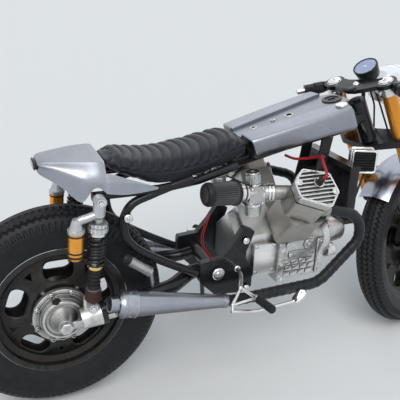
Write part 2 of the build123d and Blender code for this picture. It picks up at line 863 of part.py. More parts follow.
def rear_axle():
    end = DRIVE_IN + 100
    return rod((0, -end, REAR_TYRE_R), (0, end - 16, REAR_TYRE_R), AXLE_R) + rod(
        (0, -end, REAR_TYRE_R), (0, -DRIVE_IN - 90 - FIT, REAR_TYRE_R), 16
    )


def shock_point(distance, side):
    """A point on the shock's centreline, measured down from its upper eye."""
    top = Vector(SHOCK_TOP[0], side * SHOCK_Y, SHOCK_TOP[1])
    low = Vector(SHOCK_LOW[0], side * SHOCK_Y, SHOCK_LOW[1])
    return top + (low - top).normalized() * distance


SHOCK_LENGTH = math.dist(SHOCK_TOP, SHOCK_LOW)
EYE_HALF = 14.0
RESERVOIR_R = 23.0
RESERVOIR_TOP = (34.0, 672.0)
RESERVOIR_LOW = (30.0, 584.0)
RESERVOIR_LENGTH = math.dist(RESERVOIR_TOP, RESERVOIR_LOW)


def reservoir_up(side):
    """Direction of the reservoir's axis."""
    top = Vector(RESERVOIR_TOP[0], side * SHOCK_Y, RESERVOIR_TOP[1])
    low = Vector(RESERVOIR_LOW[0], side * SHOCK_Y, RESERVOIR_LOW[1])
    return (top - low).normalized()


def eye_ends(place, side):
    """Ends of the bore through a shock eye, longer than the eye itself."""
    reach = EYE_HALF + 12
    return [(place[0], side * SHOCK_Y + offset, place[1]) for offset in (-reach, reach)]


def shock_body(side):
    """Cast head, shaft, collars and lower eye of a shock."""
    y_in = side * (SHOCK_Y - EYE_HALF)
    y_out = side * (SHOCK_Y + EYE_HALF)
    top = rod((SHOCK_TOP[0], y_in, SHOCK_TOP[1]), (SHOCK_TOP[0], y_out, SHOCK_TOP[1]), 18)
    low = rod((SHOCK_LOW[0], y_in, SHOCK_LOW[1]), (SHOCK_LOW[0], y_out, SHOCK_LOW[1]), 16)
    profile = [
        (10, 0),
        (10, 17),
        (44, 17),
        (50, 12),
        (64, 12),
        (64, 27),
        (76, 27),
        (76, 30),
        (90, 30),
        (90, 24),
        (102, 24),
        (102, 12),
        (200, 12),
        (200, 20),
        (210, 20),
        (210, 9),
        (276, 9),
        (276, 22),
        (312, 24),
        (322, 16),
        (330, 14),
        (330, 0),
    ]
    column = turned_between(shock_point(0, side), shock_point(SHOCK_LENGTH, side), profile)
    up = reservoir_up(side)
    crown = Vector(RESERVOIR_TOP[0], side * SHOCK_Y, RESERVOIR_TOP[1])
    neck = rod(shock_point(38, side), crown + up * 22, 14, 12)
    knee = rod(crown + up * 32, crown, 12, RESERVOIR_R - 1)
    eyes = rod(*eye_ends(SHOCK_TOP, side), 8 + FIT) + rod(*eye_ends(SHOCK_LOW, side), 8 + FIT)
    return column + top + low + neck + knee - eyes


COIL_COUNT = 8
COIL_TOP = 103.0
COIL_LOW = 199.0


def shock_spring(side):
    """Close black coils, drawn as a ridged sleeve."""
    pitch = (COIL_LOW - COIL_TOP) / COIL_COUNT
    profile = [(COIL_TOP, 13), (COIL_TOP, 24)]
    for index in range(COIL_COUNT):
        start = COIL_TOP + index * pitch
        profile.append((start + pitch * 0.3, 28))
        profile.append((start + pitch * 0.7, 28))
        profile.append((start + pitch, 24))
    profile.append((COIL_LOW, 13))
    return turned_between(shock_point(0, side), shock_point(SHOCK_LENGTH, side), profile)


def shock_reservoir(side):
    low = Vector(RESERVOIR_LOW[0], side * SHOCK_Y, RESERVOIR_LOW[1])
    length = RESERVOIR_LENGTH - FIT
    top = low + reservoir_up(side) * length
    profile = [(0, 0), (0, 21), (3, RESERVOIR_R), (length - 6, RESERVOIR_R), (length, 18), (length, 0)]
    return turned_between(top, low, profile)


# Engine


JOINT_X = 735.0
FLANGE_T = 22.0
CASE_FRONT_X = 922.0
BRICK_ROWS = 4
BRICK_COLUMNS = 5


def case_section(half, low, x_low, x_high, drop=0.0):
    """Length of crankcase whose roof is the two decks that the cylinders stand on."""
    points = [
        (-half, low),
        (half, low),
        (half, deck_z(half) - drop),
        (0, deck_z(0) - drop),
        (-half, deck_z(half) - drop),
    ]
    face = make_face(Polyline(*points, close=True))
    plane = Plane(origin=(x_low, 0, 0), x_dir=(0, 1, 0), z_dir=(1, 0, 0))
    return plane * extrude(face, amount=x_high - x_low)


def rear_case():
    """Gearbox casting behind the joint flange."""
    x_high = JOINT_X - FIT
    body = case_section(CASE_HALF, CASE_LOW + 14, 626.0, x_high)
    tail = case_section(CASE_HALF - 4, CASE_LOW + 34, 592.0, 627.0, drop=24)
    side_box = block((646, -FRONT_CASE_HALF + 8, 384), (x_high, FRONT_CASE_HALF - 8, 500))
    return body + tail + side_box


def front_case():
    """Crankcase with its joint flange, brick-like cooling ribs and front cover."""
    half = FRONT_CASE_HALF
    deck_x = JOINT_X + FLANGE_T
    flange = case_section(half + 8, CASE_LOW - 10, JOINT_X, deck_x)
    case = case_section(half, CASE_LOW - 6, deck_x, CASE_FRONT_X)
    cover = rod((CASE_FRONT_X, 0, CRANK_Z + 6), (975, 0, CRANK_Z + 6), 96, 92)
    nose = rod((975, 0, CRANK_Z + 16), (1052, 0, CRANK_Z + 16), 62, 52)
    knob = rod((974, -64, CRANK_Z - 40), (1004, -64, CRANK_Z - 40), 24)
    bricks = []
    for row in range(BRICK_ROWS):
        for column in range(BRICK_COLUMNS):
            x = deck_x + 18 + column * 31 + (row % 2) * 8
            bricks.append(Pos(x, CASE_LOW + 20 + row * 24) * Rectangle(24, 15))
    wall = extrude(Plane.XZ * (Sketch() + bricks), amount=half + 6, both=True)
    return flange + case + cover + nose + knob + wall


def cylinder_plane(side, distance):
    """Plane square to a cylinder, at a distance from the crank."""
    angle = math.radians(V_ANGLE)
    out = Vector(0, -side * math.sin(angle), math.cos(angle))
    centre = Vector(CYL_X + side * CYL_STAGGER / 2, 0, CRANK_Z) + out * distance
    return Plane(origin=centre, x_dir=(1, 0, 0), z_dir=out)


def cover_face(side, shrink=0.0):
    """Outline of the head cover. The plane's second axis points up the slope on the right."""
    points = [(x, z * side) for x, z in COVER_OUTLINE]
    face = make_face(Polyline(*points, close=True))
    face = fillet(face.vertices(), 14)
    if shrink:
        face = offset(face, amount=-shrink)
    return face


INTAKE_JOINT = 0.68


def intake_line(side):
    """Line from inside the head's intake port to the carburettor."""
    return Vector(744, -side * 168, 706), Vector(640, -side * 134, 706)


def cylinder(side):
    plane = cylinder_plane(side, CYL_LOW)
    barrel = plane * extrude(RectangleRounded(132, 128, 20), amount=HEAD_LOW_L - FIT - CYL_LOW)
    return barrel


def cylinder_head(side):
    """Head casting with its intake and exhaust necks."""
    plane = cylinder_plane(side, HEAD_LOW_L)
    body = plane * extrude(cover_face(side, 5), amount=COVER_L - FIT - HEAD_LOW_L)
    port = Vector(*header_route(side)[0])
    along = (Vector(*header_route(side)[1]) - port).normalized()
    exhaust = rod(port - along * 46, port - along * FIT, HEADER_R + 7)
    start, end = intake_line(side)
    intake = rod(start, start + (end - start) * INTAKE_JOINT, 24)
    return body + exhaust + intake


def head_cover(side):
    """Polished cover with cooling fins and two cap bolts."""
    plane = cylinder_plane(side, COVER_L)
    body = plane * extrude(cover_face(side), amount=COVER_T - 12)
    lid = plane * Pos(0, 0, COVER_T - 12) * extrude(cover_face(side, 7), amount=7)
    body += lid
    for index in range(7):
        y = side * (-52 + index * 15)
        fin = Pos(0, y, COVER_T - 6) * extrude(RectangleRounded(150, 6, 2), amount=6)
        trimmed = fin & (Pos(0, 0, COVER_T - 8) * extrude(cover_face(side, 12), amount=12))
        body += plane * trimmed
    for x, y in ((-68, 27), (48, -20)):
        body += plane * Pos(x, side * y, COVER_T - 12) * Cylinder(11, 24)
    return body


FILTER_R = 40.0
FILTER_FRONT = (573.0, 138.0, 716.0)
FILTER_REAR = (432.0, 150.0, 727.0)


def filter_line(side):
    """Front and rear ends of the pod filter, with its direction."""
    front = Vector(FILTER_FRONT[0], -side * FILTER_FRONT[1], FILTER_FRONT[2])
    rear = Vector(FILTER_REAR[0], -side * FILTER_REAR[1], FILTER_REAR[2])
    return front, rear, (rear - front).normalized()


def carburettor(side):
    """Body, round top cap, float bowl and the rubber stub to the head."""
    y = -side * 134
    start, end = intake_line(side)
    mouth = start + (end - start) * INTAKE_JOINT + (end - start).normalized() * FIT
    stub = rod(mouth, end, 26)
    front, _, back = filter_line(side)
    throat = rod(front - back * 70, front - back * FIT, 27)
    body = block((586, y - 28, 672), (642, y + 28, 738))
    cap = rod((612, y, 736), (606, y, 780), 23)
    bowl = rod((612, y, 674), (616, y, 634), 30, 27)
    return stub + throat + body + cap + bowl


def pod_filter(side):
    """Conical air filter with a clamp neck and a rounded end cap."""
    front, rear, _ = filter_line(side)
    length = (rear - front).length
    profile = [
        (0, 0),
        (0, 28),
        (22, 28),
        (26, FILTER_R + 2),
        (36, FILTER_R + 2),
        (38, FILTER_R),
        (length - 20, FILTER_R - 4),
        (length - 20, FILTER_R - 2),
        (length - 6, FILTER_R - 4),
        (length, FILTER_R - 12),
        (length, 0),
    ]
    return turned_between(front, rear, profile)


# Exhaust


def silencer_ends(side):
    """Front and rear ends of the silencer and its direction to the rear."""
    front = Vector(SILENCER_FRONT[0], side * SILENCER_FRONT[1], SILENCER_FRONT[2])
    rear = Vector(SILENCER_REAR[0], side * SILENCER_REAR[1], SILENCER_REAR[2])
    return front, rear, (rear - front).normalized()


def header_route(side):
    """Pipe route from the exhaust port, in line with the silencer at its end."""
    points = [Vector(x, side * y, z) for x, y, z in HEADER_ROUTE]
    front, _, back = silencer_ends(side)
    return points + [front - back * 80, front - back * FIT]


def header(side):
    return bent_tube(header_route(side), HEADER_BENDS, HEADER_R)


def silencer(side):
    """Reverse-cone megaphone with an end ring and an open outlet."""
    front, rear, _ = silencer_ends(side)
    length = (rear - front).length
    profile = [
        (0, 0),
        (0, 24),
        (30, 25),
        (length - 60, SILENCER_R - 2),
        (length - 58, SILENCER_R),
        (length - 30, SILENCER_R),
        (length - 8, 36),
        (length - 8, 24),
        (length + 16, 22),
        (length + 16, 19),
        (length - 60, 19),
        (length - 60, 0),
    ]
    return turned_between(front, rear, profile)


# Bodywork


def lobe_face(x, inner, outer, depth):
    """Cross-section of the left tank lobe on a plane that leans back."""
    z = tank_plate_z(x) + LOBE_STEP
    tilt = math.radians(TANK_TILT)
    plane = Plane(origin=(x, 0, z), x_dir=(0, 1, 0), z_dir=(math.cos(tilt), 0, math.sin(tilt)))
    points = [(inner, 0), (outer, -8), (outer - 4, -depth), (inner + 4, -depth)]
    face = make_face(Polyline(*points, close=True))
    corners = face.vertices().sort_by(Axis.Y)
    low = corners[:2].sort_by(Axis.X)
    high = corners[2:].sort_by(Axis.X)
    face = fillet(high[-1], LOBE_CORNER)
    low = face.vertices().sort_by(Axis.Y)[:2].sort_by(Axis.X)
    face = fillet(low[-1], LOBE_BELLY)
    return plane * face


def tank_lobe():
    """Left half of the tank, lofted through a few sections."""
    faces = [lobe_face(*station) for station in LOBE_STATIONS]
    return loft(faces, ruled=True)


def tank_plate():
    """Flat plate between the lobes, with its filler hole."""
    front_x = LOBE_STATIONS[2][0]
    rear_x = LOBE_STATIONS[0][0]
    front_y = LOBE_STATIONS[2][1] - FIT
    rear_y = LOBE_STATIONS[0][1] - FIT
    rise = math.atan(TANK_RISE)
    plane = Plane(
        origin=(rear_x, 0, tank_plate_z(rear_x)),
        x_dir=(math.cos(rise), 0, math.sin(rise)),
        z_dir=(-math.sin(rise), 0, math.cos(rise)),
    )
    length = (front_x - rear_x) / math.cos(rise)
    outline = [(0, -rear_y), (length, -front_y), (length, front_y), (0, rear_y)]
    face = make_face(Polyline(*outline, close=True))
    for along, radius in ((64, 9), (200, 13), (length - 42, 27)):
        face -= Pos(along, 0) * Circle(radius)
    plate = plane * extrude(face, amount=-TANK_SHEET)
    return plate


def seat_face(station):
    """Cross-section of the seat: flat below, crowned above."""
    x, half, low, side, top = station
    plane = Plane(origin=(x, 0, 0), x_dir=(0, 1, 0), z_dir=(1, 0, 0))
    edges = [
        Line((-half + 6, low), (half - 6, low)),
        Line((half - 6, low), (half, side)),
        ThreePointArc((half, side), (0, top), (-half, side)),
        Line((-half, side), (-half + 6, low)),
    ]
    return plane * make_face(edges)


def seat():
    return loft([seat_face(station) for station in SEAT_STATIONS], ruled=True)


def across(x):
    """Plane square to the bike at a station, with Y and Z as its axes."""
    return Plane(origin=(x, 0, 0), x_dir=(0, 1, 0), z_dir=(1, 0, 0))


def cowl_face(x, top_half, low_half, top, shoulder, low, inset=0.0, drop=0.0):
    """Cross-section of the tail: flared sides below, a flat deck above."""
    points = [
        (-low_half + inset, low - drop),
        (-low_half + inset, shoulder),
        (-top_half + inset, top - inset),
        (top_half - inset, top - inset),
        (low_half - inset, shoulder),
        (low_half - inset, low - drop),
    ]
    return across(x) * make_face(Polyline(*points, close=True))


def tongue_top(x):
    """Height of the cowl's tongue, which follows the underside of the seat."""
    first, second, third = [(s[0], s[2]) for s in SEAT_STATIONS[:3]]
    if x < second[0]:
        start, end = first, second
    else:
        start, end = second, third
    return start[1] + (x - start[0]) * (end[1] - start[1]) / (end[0] - start[0]) - FIT


def cowl_shape(inset=0.0, drop=0.0):
    """Tail shape and its tongue under the seat."""
    tail = loft([cowl_face(*row, inset=inset, drop=drop) for row in COWL_STATIONS], ruled=True)
    last = COWL_STATIONS[-1]
    half = last[2] - inset
    sections = []
    for x in (last[0], SEAT_STATIONS[1][0], SEAT_STATIONS[2][0] - 8):
        low = TONGUE_LOW - drop
        high = tongue_top(x) - inset
        points = [(-half, low), (-half, high), (half, high), (half, low)]
        sections.append(across(x) * make_face(Polyline(*points, close=True)))
    return tail + loft(sections, ruled=True)


def tail_cowl():
    """Sheet-metal tail, open below, with a tongue under the seat and room for the shocks."""
    shell = cowl_shape() - cowl_shape(inset=COWL_WALL, drop=20)
    arch = rod((SHOCK_TOP[0], -150, SHOCK_TOP[1]), (SHOCK_TOP[0], 150, SHOCK_TOP[1]), COWL_ARCH_R)
    arch += block(
        (SHOCK_TOP[0] - COWL_ARCH_R, -150, 700), (SHOCK_TOP[0] + COWL_ARCH_R, 150, SHOCK_TOP[1])
    )
    return shell - arch


REST_Y = 226.0
REST_FRONT = (600.0, 346.0)
REST_REAR = (516.0, 336.0)
REST_TOP = (540.0, 404.0)
REST_BOLT = (572.0, 436.0)


def footrest_bracket():
    """Polished triangle outside the exhaust, carried by an arm from the pivot plate."""
    plate_y = RAIL_Y + PLATE_T / 2
    top = (REST_TOP[0], REST_Y, REST_TOP[1])
    front = (REST_FRONT[0], REST_Y, REST_FRONT[1])
    rear = (REST_REAR[0], REST_Y, REST_REAR[1])
    boss = rod((REST_BOLT[0], plate_y + FIT, REST_BOLT[1]), (REST_BOLT[0], plate_y + 22, REST_BOLT[1]), 11)
    arm = rod((REST_BOLT[0], plate_y + 14, REST_BOLT[1]), top, 7)
    bracket = boss + arm + rod(top, front, 6) + rod(top, rear, 5) + rod(rear, front, 5)
    for place, radius in ((top, 7), (front, 9), (rear, 5)):
        bracket += Pos(*place) * Sphere(radius)
    return bracket


def footrest_peg():
    """Ribbed rubber peg."""
    start = (REST_FRONT[0] + 1, REST_Y + 9.3, REST_FRONT[1] + 1)
    end = (REST_FRONT[0] + 10, REST_Y + 95, REST_FRONT[1] + 8)
    length = math.dist(start, end)
    profile = [(0, 0), (0, 10), (6, 13), (length - 8, 13), (length, 9), (length, 0)]
    return turned_between(start, end, profile)


PEDAL_Y = 214.0


def foot_pedal():
    """Rod that runs forward under the footrest to its pad."""
    points = [(508, PEDAL_Y, 322), (600, PEDAL_Y, 302), (742, PEDAL_Y, 308)]
    lever_rod = bent_tube(points, [120.0], 5.5)
    pad = Pos(762, PEDAL_Y, 324) * Rot(0, -38, 0) * Box(54, 34, 10)
    link = rod((512, PEDAL_Y, 319), (REST_REAR[0], REST_Y - 6, REST_REAR[1] - 4), 5)
    return lever_rod + pad + link


# Front of the frame


def radiator():
    core = block((990, -138, 560), (1022, 138, 742))
    tank_low = block((985, -142, 545), (1027, 142, 562))
    tank_high = block((985, -142, 740), (1027, 142, 760))
    lug = block((HANGER_X - 26, HANGER_Y + HANGER_T + FIT, 700), (991, HANGER_Y + HANGER_T + 7, 730))
    return core + tank_low + tank_high + lug + mirror(lug, about=Plane.XZ)


def louvred_box():
    """Small chrome-framed box with slats, on a bracket beside the steering head."""
    body = Pos(1080, -76, 762) * Rot(0, 0, -14) * Box(70, 44, 62)
    stay = rod((1030, -66, 700), (1076, -76, 740), 6)
    foot = rod((1022 + FIT, -66, 700), (1034, -66, 700), 10)
    return body + stay + foot


def fixed_parts():
    left = {"seat_rails": seat_rail(), "rear_loops": rear_loop(), "pivot_plates": pivot_plate()}
    left["engine_hangers"] = engine_hanger()
    left["tank_lobes"] = tank_lobe()
    left["footrest_brackets"] = footrest_bracket()
    left["footrest_pegs"] = footrest_peg()
    left["foot_pedals"] = foot_pedal()
    nodes = {
        "backbone": [backbone()],
        "shaft_tube": [shaft_tube()],
        "swingarm_left": [swingarm_left()],
        "swingarm_pivot": [swingarm_pivot()],
        "rear_axle": [rear_axle()],
        "final_drive": [final_drive()],
        "brake_panel": [brake_panel()],
        "rear_case": [rear_case()],
        "front_case": [front_case()],
        "tank_plate": [tank_plate()],
        "seat": [seat()],
        "tail_cowl": [tail_cowl()],
        "radiator": [radiator()],
        "louvred_box": [louvred_box()],
    }
    for name, piece in left.items():
        nodes[name] = both(piece)
    pairs = {
        "shock_bodies": shock_body,
        "shock_springs": shock_spring,
        "shock_reservoirs": shock_reservoir,
        "cylinders": cylinder,
        "cylinder_heads": cylinder_head,
        "head_covers": head_cover,
        "carburettors": carburettor,
        "pod_filters": pod_filter,
        "headers": header,
        "silencers": silencer,
    }
    for name, maker in pairs.items():
        nodes[name] = [maker(1), maker(-1)]
    return nodes


# Parked pose


def lowest_of_wheel(centre, axle_direction, radius, crown):
    """Height of a round-crowned tyre's lowest point."""
    reach = math.sqrt(1 - axle_direction.Z**2)
    return centre.Z - (radius - crown) * reach - crown


def parked_location():
    """Lean to the left, then pitch until both tyres touch the floor."""
    lean = Location((0, 0, 0), (-LEAN, 0, 0))
    steer = Location(Plane(origin=STEER_FOOT, z_dir=STEER_UP))
    turn = steer * Location((0, 0, 0), (0, 0, STEER_STOP)) * steer.inverse()
    pitch = 0.0
    for _ in range(6):
        park = Location((0, 0, 0), (0, pitch, 0)) * lean
        heights = []
        for wheel_turn, x, radius, width in (
            (Location(), 0.0, REAR_TYRE_R, REAR_TYRE_W),
            (turn, WHEELBASE, FRONT_TYRE_R, FRONT_TYRE_W),
        ):
            centre = (park * wheel_turn * Location((x, 0, radius))).position
            side = (park * wheel_turn * Location((x, 1, radius))).position
            heights.append(lowest_of_wheel(centre, side - centre, radius, width / 2))
        pitch += math.degrees(math.atan2(heights[1] - heights[0], WHEELBASE))
    return Location((0, 0, -heights[0])) * park


STAND_PIVOT = (566.0, 152.0, 316.0)
STAND_FOOT = (646.0, 292.0)
STAND_ANKLE = 12.0
STAND_R = 10.0
STAND_EYE_R = 15.0
STAND_EYE_HALF = 9.0
STAND_PIN_R = 6.0
STAND_PAD_T = 6.0


def stand_lines(park):
    """Parked place of the stand's pivot, its ankle, and the direction of its hinge pin."""
    pivot = (park * Location(STAND_PIVOT)).position
    ankle = Vector(STAND_FOOT[0], STAND_FOOT[1], STAND_ANKLE)
    rearward = (park * Location((-1, 0, 0))).position - (park * Location((0, 0, 0))).position
    return pivot, ankle, (ankle - pivot).cross(rearward).normalized()


def side_stand(park):
    """Prop leg in the parked pose, from its hinge eye to a flat foot on the floor."""
    pivot, ankle, hinge = stand_lines(park)
    start = pivot + (ankle - pivot).normalized() * (STAND_EYE_R - 3)
    leg = rod(start, ankle, STAND_EYE_HALF - 1, STAND_R)
    eye = rod(pivot - hinge * STAND_EYE_HALF, pivot + hinge * STAND_EYE_HALF, STAND_EYE_R)
    bore = rod(pivot - hinge * 20, pivot + hinge * 20, STAND_PIN_R + FIT)
    pad = Pos(ankle.X, ankle.Y, 0) * extrude(RectangleRounded(62, 44, 14), amount=STAND_PAD_T)
    post = rod((ankle.X, ankle.Y, STAND_PAD_T - 1), (ankle.X, ankle.Y, STAND_ANKLE + 8), 12)
    return leg + eye + pad + post - bore


def stand_bracket(park):
    """Lug and pin that carry the side stand, set against the left pivot plate."""
    pivot, _, hinge = stand_lines(park)
    pin = rod(pivot - hinge * (STAND_EYE_HALF + 6), pivot + hinge * (STAND_EYE_HALF + 2), STAND_PIN_R)
    head = rod(
        pivot + hinge * (STAND_EYE_HALF + FIT), pivot + hinge * (STAND_EYE_HALF + 6), STAND_PIN_R + 4
    )
    root = (park * Location((STAND_PIVOT[0] + 10, RAIL_Y + PLATE_T / 2 + FIT, 350))).position
    out = (park * Location((STAND_PIVOT[0] + 10, RAIL_Y + PLATE_T / 2 + FIT + 14, 350))).position
    knee = pivot - hinge * (STAND_EYE_HALF + 18)
    cheek = rod(knee, pivot - hinge * (STAND_EYE_HALF + FIT), 13)
    arm = rod(knee, root + (out - root) * 0.6, 6.5)
    return pin + head + cheek + arm + rod(root, out, 14)


def main():
    os.makedirs("parts", exist_ok=True)
    park = parked_location()
    steered = {
        name: [piece.rotate(STEER_AXIS, STEER_STOP) for piece in pieces]
        for name, pieces in {**steering(), **front_wheel()}.items()
    }
    nodes = {**fixed_parts(), **rear_wheel(), **steered}
    placed = {name: [piece.moved(park) for piece in pieces] for name, pieces in nodes.items()}
    placed["side_stand"] = [side_stand(park)]
    placed["stand_bracket"] = [stand_bracket(park)]
    box = Compound(children=[Compound(children=pieces) for pieces in placed.values()]).bounding_box()
    shift = Location((-box.center().X, -box.center().Y, 0))
    for name, pieces in placed.items():
        solids = [solid for piece in pieces for solid in piece.moved(shift).solids()]
        export_step(Compound(children=solids), f"parts/{name}.step")
    full = shift * park
    pivot, _, hinge = stand_lines(park)
    steer_low = (full * Location(STEER_FOOT)).position
    steer_high = (full * Location(STEER_FOOT + STEER_UP)).position
    turn = Location(Plane(origin=STEER_FOOT, z_dir=STEER_UP))
    turn = full * turn * Location((0, 0, 0), (0, 0, STEER_STOP)) * turn.inverse()
    facts = {
        "rear_axle": [(full * Location((0, y, REAR_TYRE_R))).position for y in (0, 1)],
        "front_axle": [(turn * Location((WHEELBASE, y, FRONT_TYRE_R))).position for y in (0, 1)],
        "steering": [steer_low, steer_high],
        "stand": [pivot + Vector(shift.position), pivot + Vector(shift.position) + hinge],
        "bar_right": [(turn * Location(bar_line(-1, d))).position for d in (BAR_LENGTH, BAR_LENGTH + 1)],
        "bar_left": [(turn * Location(bar_line(1, d))).position for d in (BAR_LENGTH, BAR_LENGTH + 1)],
        "origin": [shift.position, full.position, full.orientation],
    }
    print(json.dumps({name: [list(point) for point in points] for name, points in facts.items()}))


if __name__ == "__main__":
    main()
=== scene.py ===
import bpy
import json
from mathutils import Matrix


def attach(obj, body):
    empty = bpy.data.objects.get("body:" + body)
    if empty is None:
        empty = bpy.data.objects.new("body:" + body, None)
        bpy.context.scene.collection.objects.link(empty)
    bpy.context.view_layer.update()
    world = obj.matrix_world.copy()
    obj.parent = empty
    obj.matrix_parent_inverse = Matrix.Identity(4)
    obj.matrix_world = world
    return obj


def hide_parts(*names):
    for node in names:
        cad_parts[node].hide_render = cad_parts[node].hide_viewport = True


bl_info = {
    "name": "Cafe Racer Dresser",
    "version": (1, 0, 0),
    "blender": (4, 5, 0),
    "location": "3D View > Sidebar > Cafe Racer",
    "description": "Dresses the packed motorcycle with its tyres, seat, sheet metal, finishes and stage",
    "category": "Object",
}

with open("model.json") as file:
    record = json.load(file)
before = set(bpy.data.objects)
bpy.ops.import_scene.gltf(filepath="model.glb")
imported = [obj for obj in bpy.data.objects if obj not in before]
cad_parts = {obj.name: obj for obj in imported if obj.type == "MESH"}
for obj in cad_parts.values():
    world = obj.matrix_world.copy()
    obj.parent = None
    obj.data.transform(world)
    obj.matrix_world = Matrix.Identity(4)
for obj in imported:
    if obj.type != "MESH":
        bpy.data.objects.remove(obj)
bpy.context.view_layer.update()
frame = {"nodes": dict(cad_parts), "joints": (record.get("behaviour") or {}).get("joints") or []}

import json
import math

import bmesh
import bpy
from bpy.props import FloatProperty, FloatVectorProperty, IntProperty, PointerProperty
from mathutils import Matrix, Vector

# Local frames. Pieces are drawn in millimetres on the upright machine (X forward from under the
# rear axle, Y left, Z up) and placed by matrices worked out from the joints of the frame.
MM = 0.001
REAR_AXLE_Z = 343.0
FRONT_AXLE_Z = 342.0
WHEELBASE = 1463.0
STEER_FOOT_X = 1563.0
STEER_STOP = math.radians(22.0)


def joint(name):
    return next(j for j in frame["joints"] if j["name"] == name)


def basis(run, left):
    """Three unit axes from a run in the machine's middle plane and its left-hand direction."""
    run = Vector(run).normalized()
    left = Vector(left).normalized()
    return Matrix((run, left, run.cross(left))).transposed()


def upright_frame():
    """Matrix from millimetres of the upright machine to the parked row frame in metres."""
    axle = Vector(joint("rear_wheel_spin")["pos_m"])
    foot = Vector(joint("steering_turn")["pos_m"])
    drawn = basis((STEER_FOOT_X, 0, -REAR_AXLE_Z), (0, 1, 0))
    parked = basis(foot - axle, joint("rear_wheel_spin")["axis"])
    turn = parked @ drawn.transposed()
    place = axle - turn @ Vector((0, 0, REAR_AXLE_Z * MM))
    return Matrix.Translation(place) @ turn.to_4x4() @ Matrix.Scale(MM, 4)


def steered_frame():
    """The same for the steering assembly, which rests turned to its left stop."""
    foot = Vector(joint("steering_turn")["pos_m"])
    turn = Matrix.Rotation(STEER_STOP, 4, Vector(joint("steering_turn")["axis"]))
    return Matrix.Translation(foot) @ turn @ Matrix.Translation(-foot) @ UPRIGHT


UPRIGHT = upright_frame()
STEERED = steered_frame()
REAR_WHEEL = UPRIGHT @ Matrix.Translation((0, 0, REAR_AXLE_Z))
FRONT_WHEEL = STEERED @ Matrix.Translation((WHEELBASE, 0, FRONT_AXLE_Z))
# The frame that the pieces of each body are drawn in
BODY_FRAMES = {"root": UPRIGHT, "steering": STEERED, "rear_wheel": REAR_WHEEL, "front_wheel": FRONT_WHEEL}


# Settings that a user would change


class MetalSettings(bpy.types.PropertyGroup):
    # Grey steel with a bluish tint that is a painted reflection of sky
    sheet_colour: FloatVectorProperty(
        name="Sheet metal", description="Colour of the bare tank, tail and fender",
        subtype="COLOR", size=3, default=(0.38, 0.40, 0.45), min=0, max=1)
    engine_colour: FloatVectorProperty(
        name="Engine silver", description="Colour of the cast and painted engine",
        subtype="COLOR", size=3, default=(0.56, 0.56, 0.55), min=0, max=1)
    gold_colour: FloatVectorProperty(
        name="Gold", description="Anodised fork tubes and shock reservoirs",
        subtype="COLOR", size=3, default=(0.83, 0.33, 0.035), min=0, max=1)
    frame_colour: FloatVectorProperty(
        name="Frame black", description="Paint of the frame tubes and wheels",
        subtype="COLOR", size=3, default=(0.007, 0.0075, 0.010), min=0, max=1)


class TyreSettings(bpy.types.PropertyGroup):
    groove_depth: FloatProperty(
        name="Groove depth", description="Depth of the tread's zigzag grooves",
        unit="LENGTH", default=0.0055, min=0.001, max=0.01)
    groove_width: FloatProperty(
        name="Groove width", description="Width of a zigzag groove",
        unit="LENGTH", default=0.0052, min=0.002, max=0.01)
    zigzag_swing: FloatProperty(
        name="Zigzag swing", description="How far a groove swings to each side",
        unit="LENGTH", default=0.0038, min=0, max=0.01)
    zigzag_pitch: FloatProperty(
        name="Zigzag pitch", description="Length of one zigzag along the tyre",
        unit="LENGTH", default=0.0215, min=0.01, max=0.05)
    colour: FloatVectorProperty(
        name="Rubber", description="Colour of the tyres", subtype="COLOR", size=3,
        default=(0.011, 0.012, 0.015), min=0, max=1)


class SeatSettings(bpy.types.PropertyGroup):
    rib_count: IntProperty(
        name="Ribs", description="Padded ribs across the top of the seat", default=13, min=3, max=30)
    channel_depth: FloatProperty(
        name="Channel depth", description="Depth of the sewn channels between ribs",
        unit="LENGTH", default=0.0065, min=0, max=0.02)
    swell_cap: FloatProperty(
        name="Swell", description="Furthest that the padding may swell",
        unit="LENGTH", default=0.006, min=0, max=0.03)
    cover_colour: FloatVectorProperty(
        name="Cover", description="Colour of the seat cover", subtype="COLOR", size=3,
        default=(0.009, 0.011, 0.017), min=0, max=1)


class StageSettings(bpy.types.PropertyGroup):
    floor_colour: FloatVectorProperty(
        name="Floor", description="Colour of the plain floor", subtype="COLOR", size=3,
        default=(0.74, 0.735, 0.72), min=0, max=1)
    key_strength: FloatProperty(
        name="Key light", description="Strength of the broad soft lamp on the camera's side",
        subtype="FACTOR", default=1.5, min=0)
    fill_strength: FloatProperty(
        name="Fill light", description="Strength of the soft lamp on the far side",
        subtype="FACTOR", default=0.35, min=0)


def settings(name):
    return getattr(bpy.context.scene, name)


# Mesh helpers, in millimetres of a local frame


class Form:
    """Points and faces gathered before they become one mesh, with a finish index for each face."""

    def __init__(self):
        self.points = []
        self.faces = []
        self.finish = []

    def add(self, part, finish=0, place=None):
        points, faces = part
        base = len(self.points)
        if place is not None:
            points = [place @ Vector(p) for p in points]
        self.points.extend(Vector(p) for p in points)
        self.faces.extend(tuple(base + i for i in face) for face in faces)
        self.finish.extend([finish] * len(faces))
        return self

    def merge(self, other, place=None):
        base = len(self.points)
        self.points.extend(p if place is None else place @ p for p in other.points)
        self.faces.extend(tuple(base + i for i in face) for face in other.faces)
        self.finish.extend(other.finish)
        return self


def with_mirror(form):
    """The form and its mirror image on the machine's other side."""
    return Form().merge(form).merge(form, Matrix.Diagonal((1, -1, 1, 1)))


def skin(rings, around=True, ends=True, loop=False):
    """Faces through rings of equal count."""
    count = len(rings[0])
    points = [p for ring in rings for p in ring]
    faces = []
    for i in range(len(rings) if loop else len(rings) - 1):
        a = i * count
        b = (i + 1) % len(rings) * count
        for k in range(count if around else count - 1):
            m = (k + 1) % count
            faces.append((a + k, a + m, b + m, b + k))
    if ends and not loop and around:
        faces.append(tuple(reversed(range(count))))
        faces.append(tuple(range(len(points) - count, len(points))))
    return points, faces


